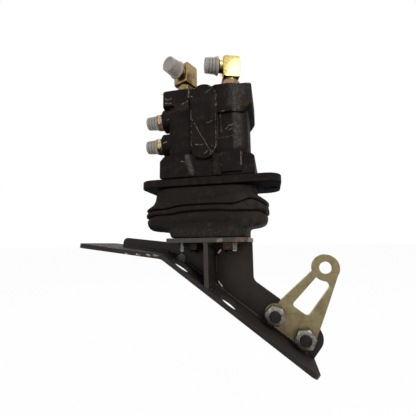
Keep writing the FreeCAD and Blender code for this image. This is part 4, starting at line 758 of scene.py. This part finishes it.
# Heights of the boot's folds round it, as (degrees, millimetres). 0 is the toe end and 270 the front.
BOOT_TOP = -9.5
BOOT_FOOT = -66.4
SHOULDER = [
    (0, -27.3), (30, -24.0), (60, -25.0), (90, -27.0), (120, -26.0), (150, -30.5), (180, -33.0), (210, -32.0),
    (240, -30.5), (270, -26.0), (288, -22.5), (300, -21.0), (315, -23.0), (335, -26.5)]
FIRST_FOLD = [
    (0, -31.5), (30, -30.5), (60, -30.0), (90, -32.0), (120, -31.5), (150, -35.0), (180, -37.0), (205, -36.3),
    (232, -34.9), (254, -34.2), (265, -31.6), (274, -31.0), (282, -31.7), (290, -30.0), (302, -26.8),
    (315, -27.8), (335, -31.4)]
SECOND_FOLD = [
    (0, -41.2), (30, -40.0), (60, -38.5), (90, -40.0), (120, -40.5), (150, -43.0), (180, -44.5), (205, -43.6),
    (234, -40.8), (256, -40.6), (267, -38.2), (274, -37.6), (282, -38.8), (300, -39.0), (322, -38.8),
    (345, -41.4)]
BULGE_FOOT = [
    (0, -54.0), (45, -54.5), (90, -51.0), (135, -54.5), (165, -57.5), (185, -58.0), (205, -55.5),
    (240, -53.7), (258, -49.5), (280, -49.5), (290, -52.0), (300, -55.0), (330, -55.5)]
LOOSE_RINGS = range(3, 28)
LOOSENESS = 0.45
LOOSE_SEED = 2


def boot_rings():
    """Half length, middle, half width, squareness and height of each ring, from the flange to the plate."""
    def level(stops, shift=0.0):
        return lambda turn: around(stops, turn) + shift

    def cuff(share):
        return lambda turn: BOOT_TOP + (around(SHOULDER, turn) - BOOT_TOP) * share

    def at(height):
        return lambda turn: height

    def middle(turn):
        return (around(SECOND_FOLD, turn) + around(BULGE_FOOT, turn)) / 2

    return [
        (55.8, -5.9, 32.5, 4.5, at(BOOT_TOP)),
        (58.0, -5.9, 34.6, 4.5, at(BOOT_TOP - 0.1)),
        (58.9, -5.9, 35.8, 4.5, at(BOOT_TOP - 1.0)),
        (59.3, -5.9, 36.6, 4.5, cuff(0.3)),
        (60.0, -5.9, 37.6, 4.5, cuff(0.62)),
        (62.7, -5.5, 40.2, 4.3, cuff(0.84)),
        (67.4, -5.0, 43.6, 4.2, level(SHOULDER, 0.8)),
        (69.8, -4.8, 45.0, 4.2, level(SHOULDER, -1.2)),
        (70.8, -4.8, 45.6, 4.2, level(FIRST_FOLD, 2.2)),
        (70.6, -4.8, 45.5, 4.2, level(FIRST_FOLD, 0.6)),
        (68.4, -4.8, 43.6, 4.2, level(FIRST_FOLD, 0.0)),
        (64.4, -4.8, 40.0, 4.2, level(FIRST_FOLD, 0.1)),
        (64.4, -4.8, 40.0, 4.2, level(FIRST_FOLD, -0.7)),
        (68.8, -4.8, 43.9, 4.2, level(FIRST_FOLD, -1.0)),
        (70.5, -4.8, 45.5, 4.2, level(FIRST_FOLD, -2.2)),
        (71.0, -4.8, 45.9, 4.2, level(SECOND_FOLD, 2.4)),
        (70.7, -4.8, 45.7, 4.2, level(SECOND_FOLD, 0.7)),
        (68.4, -4.8, 43.8, 4.2, level(SECOND_FOLD, 0.1)),
        (64.4, -4.8, 40.4, 4.2, level(SECOND_FOLD, 0.1)),
        (64.4, -4.8, 40.4, 4.2, level(SECOND_FOLD, -0.7)),
        (68.0, -4.9, 43.8, 4.2, level(SECOND_FOLD, -1.2)),
        (69.6, -5.2, 45.2, 4.2, level(SECOND_FOLD, -3.0)),
        (69.6, -5.2, 45.2, 4.2, middle),
        (67.8, -5.2, 44.2, 4.3, level(BULGE_FOOT, 1.8)),
        (62.5, -5.0, 42.9, 4.6, level(BULGE_FOOT, 0.0)),
        (50.5, -3.5, 42.0, 5.5, level(BULGE_FOOT, -1.0)),
        (45.0, -2.2, 41.6, 7.0, level(BULGE_FOOT, -2.2)),
        (43.2, -1.0, 41.4, 8.0, at(-60.5)),
        (42.5, -0.3, 41.2, 8.0, at(-65.0)),
        (41.8, 0.2, 40.6, 8.0, at(BOOT_FOOT)),
        (39.4, 0.2, 38.4, 8.0, at(BOOT_FOOT)),
    ]


def boot_shape():
    """The boot's skin: a hoop drawn down over its folds, ring by ring."""
    shape = bmesh.new()
    hoop = bmesh.ops.create_circle(shape, segments=144, radius=1.0)["verts"]
    turns = {vert: math.degrees(math.atan2(vert.co.y, vert.co.x)) % 360 for vert in hoop}
    rim = shape.edges[:]
    noise.seed_set(LOOSE_SEED)
    for number, (half_length, middle, half_width, square, height) in enumerate(boot_rings()):
        if number:
            verts, rim = pushed_on(shape, rim)
            turns = {vert: turns[next(edge.other_vert(vert) for edge in vert.link_edges
                                      if edge.other_vert(vert) in turns)] for vert in verts}
        for vert, turn in turns.items():
            c, s = math.cos(math.radians(turn)), math.sin(math.radians(turn))
            x = math.copysign(abs(c) ** (2 / square), c) * half_length
            y = math.copysign(abs(s) ** (2 / square), s) * half_width
            slack = LOOSENESS if number in LOOSE_RINGS else 0.0
            stir = noise.noise_vector(Vector((x, y, number * 6.0)) / 17.0) * slack
            vert.co = Vector((x + middle, y, height(turn))) + stir
    bmesh.ops.recalc_face_normals(shape, faces=shape.faces)
    return shape


class BootOperator(bpy.types.Operator):
    """Folds the rubber boot between the flange and the pedal"""

    bl_idname = "pedal_valve.boot"
    bl_label = "Boot"

    def execute(self, context):
        boot = dressed("folded_boot", boot_shape(), "valve", "boot", ["boot"], crease=180.0)
        set_free(boot)
        smooth = boot.modifiers.new("smooth_rubber", "SUBSURF")
        smooth.levels = 1
        smooth.render_levels = 1
        wall = boot.modifiers.new("rubber_wall", "SOLIDIFY")
        wall.thickness = 1.6 * MM
        wall.offset = -1.0
        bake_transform(boot)
        coat("zinc", "boot_top_frame", "boot_foot_frame")
        return {"FINISHED"}


class CastingsOperator(bpy.types.Operator):
    """Rounds and paints the valve body, the mounting flange and the pivot's castings"""

    bl_idname = "pedal_valve.castings"
    bl_label = "Castings"

    def execute(self, context):
        dressed("cast_body", joined("valve_body"), "valve", "casting", ["valve_body"],
                sizes().cast_edge, segments=3, hollow=True)
        dressed("cast_flange", joined("mounting_flange"), "valve", "flange", ["mounting_flange"],
                sizes().flange_edge, segments=3)
        coat("steel", "pivot_saddle", "rocker")
        return {"FINISHED"}


class PedalOperator(bpy.types.Operator):
    """Paints the pedal's plates and eases their edges"""

    bl_idname = "pedal_valve.pedal"
    bl_label = "Pedal"

    def execute(self, context):
        for node, finish in (("top_plate", "top_plate"), ("foot_plate", "foot_plate"), ("web_plate", "pedal"),
                             ("gusset_near", "gusset"), ("gusset_far", "gusset")):
            dressed(f"painted_{node}", joined(node), "pedal", finish, [node], sizes().sheet_edge)
        return {"FINISHED"}


def plate_top(node, above=50.0):
    """Gives the height of a node's upper side over a place, in millimetres."""
    shape = joined(node)
    bmesh.ops.triangulate(shape, faces=shape.faces)
    tree = BVHTree.FromBMesh(shape)
    shape.free()

    def height(x, y):
        spot = tree.ray_cast(Vector((x, y, above)), Vector((0, 0, -1)))[0]
        return spot.z
    return height


# The pedal's welds, in millimetres. A run beside the web has its start, its end and its ripples' seed.
HALF_WEB = 2.5
WEB_RUNS = ((-114, -49, 11), (-31, 101, 13))
TOP_RUN = 44.0
CROSS_START = 15.5
CROSS_FOOT_END = 40.0
CROSS_TOP_END = 42.0
CORNER_DROP = 13.5
CORNER_RISE = 13.0
BARE_RUNS = (
    ([(5.2, -4.8, -84.5), (8.0, -5.2, -80.5), (10.6, -4.8, -77.5)], 2.3, 71),
    ([(4.9, -4.6, -115.2), (7.6, -4.8, -118.9), (10.4, -4.6, -122.6)], 1.1, 72))


class WeldsOperator(bpy.types.Operator):
    """Lays the weld beads between the pedal's plates"""

    bl_idname = "pedal_valve.welds"
    bl_label = "Welds"

    def execute(self, context):
        whole = bmesh.new()
        radius = sizes().bead / MM
        sunk = 0.25 * radius
        face = HALF_WEB + sunk
        top = plate_top("foot_plate")
        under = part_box("top_plate")[0].z / MM
        ceiling = under - sunk
        for number, side in enumerate((-1, 1)):
            y = side * face
            start, foot_end, top_end = side * CROSS_START, side * CROSS_FOOT_END, side * CROSS_TOP_END
            for low, high, seed in WEB_RUNS:
                bead(whole, [(x, y, top(x, y) + sunk) for x in range(low, high, 5)], radius, seed + number)
            bead(whole, [(-TOP_RUN, y, ceiling), (TOP_RUN, y, ceiling)], radius * 0.9, 21 + number)
            for turn, x in enumerate((-face, face)):
                seed = 31 + 4 * number + turn
                foot = top(x, side * 20.0) + sunk
                bead(whole, [(x, start, foot), (x, foot_end, foot)], radius * 0.9, seed)
                bead(whole, [(x, start, ceiling), (x, top_end, ceiling)], radius * 0.8, seed + 20)
                corner = [(x, y, under - CORNER_DROP), (x, y, foot + CORNER_RISE)]
                bead(whole, corner, radius * 0.8, seed + 40)
        bare = bmesh.new()
        for path, thickness, seed in BARE_RUNS:
            bead(bare, path, thickness, seed)
        for name, shape, finish in (("weld_beads", whole, "pedal"), ("bare_weld_beads", bare, "bare_weld")):
            bmesh.ops.recalc_face_normals(shape, faces=shape.faces)
            dressed(name, shape, "pedal", finish, crease=50.0)
        return {"FINISHED"}


# Hexagons across their flats, heights of nuts and heads, and threads, in millimetres.
M12 = SimpleNamespace(across=19.0, nut=10.0, head=7.5, radius=6.0, pitch=1.6)
M10 = SimpleNamespace(across=17.0, nut=8.0, head=6.4, radius=5.0, pitch=1.4)
M6 = SimpleNamespace(across=8.0, head=4.0, radius=3.0, pitch=1.0)
UP = (0, 0, 1)
DOWN = (0, 0, -1)
FRONT = (0, -1, 0)
BACK = (0, 1, 0)


def shank(size, plain, start, end, tip, steps=48):
    """A screw's shank along Z: plain at some heights, threaded between two more, with a narrower tip."""
    return turned([(0.0, plain[0])] + [(size.radius, height) for height in plain]
                  + thread(size.radius, start, end, size.pitch, 0.5)
                  + [tip, (0.0, tip[1])], steps)


def head(size):
    """A screw's head standing on Z = 0."""
    return hexagon(size.across, size.head, (False, True))


class BracketOperator(bpy.types.Operator):
    """Plates the link bracket and screws it to the web"""

    bl_idname = "pedal_valve.bracket"
    bl_label = "Bracket"

    def execute(self, context):
        dressed("plated_bracket", joined("link_bracket"), "pedal", "bracket", ["link_bracket"],
                sizes().sheet_edge)
        low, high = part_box("bracket_nuts")
        inset = 10.2
        arm_face = -8.5
        spots = ((low.x / MM + inset, high.z / MM - inset, 15), (high.x / MM - inset, low.z / MM + inset, 35))
        nuts, bolts = bmesh.new(), bmesh.new()
        for x, z, turn in spots:
            put_in(nuts, aim(hexagon(M12.across, M12.nut), (x, arm_face, z), FRONT, math.radians(turn)))
            put_in(bolts, aim(shank(M12, (-20.0, 1.0), 1.0, 12.0, (5.2, 13.0)), (x, arm_face, z), FRONT))
            put_in(bolts, aim(head(M12), (x, HALF_WEB, z), BACK))
        dressed("bracket_nuts_dressed", nuts, "pedal", "dull_zinc", ["bracket_nuts"])
        dressed("bracket_bolts_dressed", bolts, "pedal", "bolt", ["bracket_bolts"])
        return {"FINISHED"}


# Places on the plate under the boot, and how far above its underside the heads stand, in millimetres.
PLATE_BOLTS = ((-20.0, -14.0), (-20.0, 14.0), (20.0, 14.0), (20.0, -14.0))
PAINTED_NUT = (-20.0, -14.0)
RUSTY_NUT = (20.0, -14.0)
BOOT_SCREWS = ((-28.5, -32.25), (-28.5, 32.25), (28.5, -32.25), (28.5, 32.25))
PLATE_STACK = 11.0
SCREW_STACK = 9.3


class FastenersOperator(bpy.types.Operator):
    """Makes the nuts and the screw tails under the pedal's top plate"""

    bl_idname = "pedal_valve.fasteners"
    bl_label = "Fasteners"

    def execute(self, context):
        nuts, painted, bolts, screws = (bmesh.new() for _ in range(4))
        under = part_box("top_plate")[0].z / MM
        turn = math.radians(30)
        for x, y in PLATE_BOLTS:
            nut = aim(hexagon(M10.across, M10.nut), (x, y, under), DOWN, turn)
            if (x, y) == RUSTY_NUT:
                dressed("rusty_nut_dressed", nut, "pedal", "rust", ["plate_nut_rusty"])
            else:
                put_in(painted if (x, y) == PAINTED_NUT else nuts, nut)
            put_in(bolts, aim(head(M10), (x, y, under + PLATE_STACK), UP, turn))
            put_in(bolts, aim(shank(M10, (-PLATE_STACK,), 0.0, 10.2, (4.2, 11.0)), (x, y, under), DOWN))
        for x, y in BOOT_SCREWS:
            put_in(screws, aim(shank(M6, (-9.4,), 0.0, 8.5, (2.5, 9.0), 24), (x, y, under), DOWN))
            put_in(screws, aim(head(M6), (x, y, under + SCREW_STACK), UP, turn))
        dressed("plate_nuts_dressed", nuts, "pedal", "zinc", ["plate_nuts"])
        dressed("painted_nut_dressed", painted, "pedal", "pedal", ["plate_nuts"])
        dressed("plate_bolts_dressed", bolts, "pedal", "bolt", ["plate_bolts"])
        dressed("boot_screws_dressed", screws, "pedal", "zinc", ["boot_frame_screws"])
        coat("zinc", "flange_screws", "saddle_screws")
        return {"FINISHED"}


def level_way(degrees):
    """A level direction, turned from +X towards +Y."""
    return Vector((math.cos(math.radians(degrees)), math.sin(math.radians(degrees)), 0.0))


# Each port's name, the middle of its elbow or of its sealing face, its turn in degrees and its nut's finish.
TOP_PORTS = (
    ("left", Vector((-27.5, -22.0, 132.0)), 245.0, "fitting"),
    ("right", Vector((27.5, -22.0, 135.0)), 200.0, "copper"))
SIDE_PORTS = (
    ("upper", Vector((-54.6, -20.0, 76.0)), "copper"),
    ("lower", Vector((-54.6, -20.0, 45.2)), "fitting"))
OUTWARDS = Vector((-1.0, 0.0, 0.0))
# In millimetres: foot is a height in the part, and start, end, gap and seat run along the port.
ELBOW = SimpleNamespace(across=20.0, height=26.0, rounding=3.2, easing=0.6, foot=117.0)
LOCK_NUT = SimpleNamespace(across=19.0, height=7.0, foot=107.5)
ADAPTER_HEX = SimpleNamespace(across=19.0, height=5.0, gap=1.5)
TOP_THREAD = SimpleNamespace(radius=8.0, start=14.4, end=26.8, pitch=1.5, depth=0.6)
SIDE_THREAD = SimpleNamespace(radius=7.0, start=6.6, end=18.2, pitch=1.5, depth=0.5)
BORE = 4.5
LARGE_CAP = SimpleNamespace(seat=14.4, inner=8.3, inside=14.0)
SMALL_CAP = SimpleNamespace(seat=6.9, inner=7.3, inside=13.0)
# The cap whose painted shade rings are faintest.
FAINTEST_SHADE_CAP = "top_left"


def outlet(size, root, mouth):
    """A tube along Z with its thread between the (radius, height) points of its root and its mouth."""
    ridges = thread(size.radius, size.start, size.end, size.pitch, size.depth)
    return turned([(BORE, root[0][1])] + root + ridges + mouth)


class FittingsOperator(bpy.types.Operator):
    """Makes the elbows, the adapters and their threads"""

    bl_idname = "pedal_valve.fittings"
    bl_label = "Fittings"

    def execute(self, context):
        for side, middle, turn, nut_finish in TOP_PORTS:
            foot = Vector((middle.x, middle.y, ELBOW.foot))
            block = rounded_block(ELBOW.across, ELBOW.height, ELBOW.rounding, ELBOW.easing)
            bmesh.ops.rotate(block, cent=(0, 0, 0), matrix=Matrix.Rotation(math.radians(turn), 3, "Z"),
                             verts=block.verts)
            bmesh.ops.translate(block, vec=foot, verts=block.verts)
            neck = turned([(BORE, -25.0), (7.5, -25.0), (7.5, -2.5), (7.9, -2.2), (7.9, 0.5), (BORE, 0.5)])
            arm = outlet(TOP_THREAD, [(8.0, 9.5), (8.0, 13.2), (7.3, 14.0)],
                         [(7.2, 27.9), (5.6, 27.9), (BORE, 25.8)])
            elbow = put_in(bmesh.new(), block)
            put_in(elbow, aim(neck, foot, UP))
            put_in(elbow, aim(arm, middle, level_way(turn)))
            dressed(f"elbow_{side}_dressed", elbow, "valve", f"{side}_elbow",
                    [f"top_elbow_{side}"])
            nut = hexagon(LOCK_NUT.across, LOCK_NUT.height)
            aim(nut, (middle.x, middle.y, LOCK_NUT.foot), UP, math.radians(30))
            dressed(f"lock_nut_{side}_dressed", nut, "valve", nut_finish,
                    [f"elbow_lock_nut_{side}"])
        for level, face, hex_finish in SIDE_PORTS:
            collar = hexagon(ADAPTER_HEX.across, ADAPTER_HEX.height)
            aim(collar, face + OUTWARDS * ADAPTER_HEX.gap, OUTWARDS)
            stem = outlet(SIDE_THREAD, [(7.0, -13.0), (7.0, 6.0)], [(6.3, 19.4), (5.4, 19.4), (BORE, 18.0)])
            aim(stem, face, OUTWARDS)
            for kind, shape, finish in (("hex", collar, hex_finish), ("stem", stem, "fitting")):
                dressed(f"adapter_{kind}_{level}_dressed", shape, "valve", finish,
                        [f"side_adapter_{level}"])
        coat("zinc", "top_seal_left", "top_seal_right", "side_seal_upper", "side_seal_lower")
        return {"FINISHED"}


def cap_shape(inner, inside, seed, ridges=4):
    """A push-on cap whose mouth is at Z = 0, with an uneven flared skirt and a ridge for each thread."""
    outer = inner + 1.5
    profile = [(inner, 0.0), (outer + 1.2, 0.0), (outer + 1.4, 0.5), (outer + 0.8, 1.6), (outer + 0.15, 3.2)]
    for ridge in range(ridges):
        start = 4.2 + ridge * (inside - 5.5) / ridges
        lean = 0.9 * start / inside
        crest = outer - 0.05 - lean
        profile += [(outer - 0.3 - lean, start), (crest, start + 0.9), (crest, start + 1.5)]
    profile += [(outer - 1.0, inside), (outer - 1.1, inside + 1.4), (outer - 1.8, inside + 1.95),
                (outer - 3.2, inside + 1.95), (outer - 3.7, inside + 1.5), (0.0, inside + 1.4)]
    hollow = [(0.0, inside), (inner - 0.7, inside), (inner - 0.1, inside - 1.0)]
    cap = turned(profile + hollow, 64)
    for vert in cap.verts:
        radius = math.hypot(vert.co.x, vert.co.y)
        if vert.co.z < 1.0 and radius > outer:
            pull = 0.5 + 0.5 * noise.noise(Vector((vert.co.x, vert.co.y, seed * 9.0)) / 4.0)
            vert.co.x -= vert.co.x / radius * pull * 0.7
            vert.co.y -= vert.co.y / radius * pull * 0.7
            vert.co.z += pull * 0.6
    return cap


class CapsOperator(bpy.types.Operator):
    """Moulds the dust caps"""

    bl_idname = "pedal_valve.caps"
    bl_label = "Dust caps"

    def execute(self, context):
        ports = [("top", side, middle, level_way(turn), LARGE_CAP) for side, middle, turn, _ in TOP_PORTS]
        ports += [("side", level, face, OUTWARDS, SMALL_CAP) for level, face, _ in SIDE_PORTS]
        for number, (place, side, spot, way, size) in enumerate(ports):
            port = f"{place}_{side}"
            mouth = spot + way * size.seat
            # How strongly the painted shade rings show on each cap; faintest on the top left.
            depth = 0.35 if port == FAINTEST_SHADE_CAP else 0.75
            FINISHES[port] = milky_plastic(f"{port}_cap_plastic", colours(), mouth, way, depth)
            cap = aim(cap_shape(size.inner, size.inside, number), mouth, way)
            dressed(f"cap_{side}_dressed", cap, f"cap_{port}", port, [f"{place}_cap_{side}"])
        return {"FINISHED"}


# Heights of the springs' fixed ends, in metres.
SPRING_TOPS = (("return", 0.044), ("metering", 0.053))


class InnerWorksOperator(bpy.types.Operator):
    """Finishes the pieces inside the valve and the boot"""

    bl_idname = "pedal_valve.inner_works"
    bl_label = "Inner works"

    def execute(self, context):
        coat("steel", "pivot_pin", "pin_clips", "gallery_plugs")
        coat("bronze", "pivot_bushes")
        for side in ("left", "right"):
            coat("steel", f"push_rod_{side}", f"spool_{side}", f"spring_seat_{side}", f"guide_plug_{side}")
            for kind, fixed in SPRING_TOPS:
                node = f"{kind}_spring_{side}"
                spring = dressed(f"{node}_dressed", joined(node), "valve", "spring", [node])
                set_free(spring)
                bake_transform(spring)
            coat("seal", f"wiper_seal_{side}", f"plug_seal_{side}")
        return {"FINISHED"}


def lamp(name, spot, size, power, tone=WHITE):
    """A round area lamp that shines on the origin. Lengths in metres, power in watts."""
    light = bpy.data.lights.new(name, "AREA")
    light.shape = "DISK"
    light.size = size
    light.energy = power
    light.color = tone
    item = add(name, light)
    item.location = spot
    item.rotation_euler = (-Vector(spot)).to_track_quat("-Z", "Y").to_euler()


# Where the camera stood in metres, its turns in radians, and its lens and sensor in millimetres.
CAMERA_SPOT = (0.06561, -0.32212, -0.07335)
CAMERA_YAW, CAMERA_PITCH, CAMERA_ROLL = 0.2205, 0.1309, -0.0138
CAMERA_LENS = 23.70
CAMERA_SENSOR = 36.0
FLOOR_REACH = 30.0
FLOOR_GLOW = 0.97
ROOM_TONE = (0.97, 0.98, 1.0)
ROOM_LIGHT = 0.3


class StageOperator(bpy.types.Operator):
    """Sets up the floor, the light and the camera"""

    bl_idname = "pedal_valve.stage"
    bl_label = "Stage"

    def execute(self, context):
        context.scene.view_settings.view_transform = "Standard"
        self.lay_floor()
        self.light_room(context.scene)
        self.place_camera(context.scene)
        return {"FINISHED"}

    def lay_floor(self):
        shape = bmesh.new()
        bmesh.ops.create_grid(shape, x_segments=1, y_segments=1, size=FLOOR_REACH)
        bmesh.ops.translate(shape, vec=(0, 0, sizes().floor_height), verts=shape.verts)
        mesh = bpy.data.meshes.new("floor")
        shape.to_mesh(mesh)
        shape.free()
        finish = Finish("floor_white", roughness=0.9, specular_ior_level=0.0)
        finish.set("Base Color", tuple(colours().floor))
        white = finish.node("ShaderNodeEmission", {}, {"Color": WHITE})
        lit = Wire(finish, finish.shader.outputs[0])
        glow = finish.background_rays() * FLOOR_GLOW
        mixed = finish.node("ShaderNodeMixShader", {}, {0: glow, 1: lit, 2: white})
        finish.join(mixed, finish.tree.nodes["Material Output"].inputs["Surface"])
        mesh.materials.append(finish.material)
        add("floor", mesh)

    def light_room(self, scene):
        scene.world = bpy.data.worlds.new("studio")
        scene.world.use_nodes = True
        room = Nodes(scene.world.node_tree)
        lit = room.node("ShaderNodeBackground", {}, {"Color": ROOM_TONE, "Strength": ROOM_LIGHT})
        white = room.node("ShaderNodeBackground", {}, {"Color": WHITE, "Strength": 1.0})
        mixed = room.node("ShaderNodeMixShader", {}, {0: room.background_rays(), 1: lit, 2: white})
        room.join(mixed, room.tree.nodes["World Output"].inputs["Surface"])
        lamp("key_light", (0.75, -0.85, 0.55), 0.7, 7.5, (1.0, 0.98, 0.95))
        lamp("front_light", (-0.5, -1.1, 0.35), 0.9, 4.0)
        lamp("top_light", (0.1, 0.3, 1.2), 0.9, 4.5, (1.0, 0.99, 0.97))
        lamp("back_light", (-0.4, 1.1, 0.4), 0.9, 3.5)

    def place_camera(self, scene):
        yaw, pitch, roll = CAMERA_YAW, CAMERA_PITCH, CAMERA_ROLL
        ahead = Vector((-math.sin(yaw) * math.cos(pitch), math.cos(yaw) * math.cos(pitch), math.sin(pitch)))
        right = Vector((math.cos(yaw), math.sin(yaw), 0.0))
        up = right.cross(ahead)
        across = right * math.cos(roll) + up * math.sin(roll)
        over = up * math.cos(roll) - right * math.sin(roll)
        camera = bpy.data.cameras.new("photo_view")
        camera.sensor_fit = "HORIZONTAL"
        camera.sensor_width = CAMERA_SENSOR
        camera.lens = CAMERA_LENS
        camera.clip_start = 0.01
        scene.camera = add("photo_view", camera)
        turn = Matrix((across, over, -ahead)).transposed().to_4x4()
        scene.camera.matrix_world = Matrix.Translation(CAMERA_SPOT) @ turn


class PedalValvePanel(bpy.types.Panel):
    """Lists the steps that finish the part"""

    bl_idname = "VIEW3D_PT_pedal_valve"
    bl_label = "Pedal Valve"
    bl_space_type = "VIEW_3D"
    bl_region_type = "UI"
    bl_category = "Pedal Valve"

    def draw(self, context):
        layout = self.layout
        for group in (colours(), sizes()):
            column = layout.column()
            for key in group.bl_rna.properties.keys():
                if key not in ("rna_type", "name"):
                    column.prop(group, key)
        for step in STEPS:
            layout.operator(step.bl_idname)


STEPS = (StageOperator, CastingsOperator, BootOperator, PedalOperator, WeldsOperator, BracketOperator,
         FastenersOperator, FittingsOperator, CapsOperator, InnerWorksOperator)
CLASSES = (PedalValveColours, PedalValveSizes, PedalValvePanel) + STEPS


def register():
    for cls in CLASSES:
        bpy.utils.register_class(cls)
    bpy.types.Scene.pedal_valve_colours = bpy.props.PointerProperty(type=PedalValveColours)
    bpy.types.Scene.pedal_valve_sizes = bpy.props.PointerProperty(type=PedalValveSizes)


def unregister():
    del bpy.types.Scene.pedal_valve_colours
    del bpy.types.Scene.pedal_valve_sizes
    for cls in reversed(CLASSES):
        bpy.utils.unregister_class(cls)


def main():
    register()
    make_finishes()
    for step in STEPS:
        group, name = step.bl_idname.split(".")
        getattr(getattr(bpy.ops, group), name)()


if __name__ == "__main__":
    main()
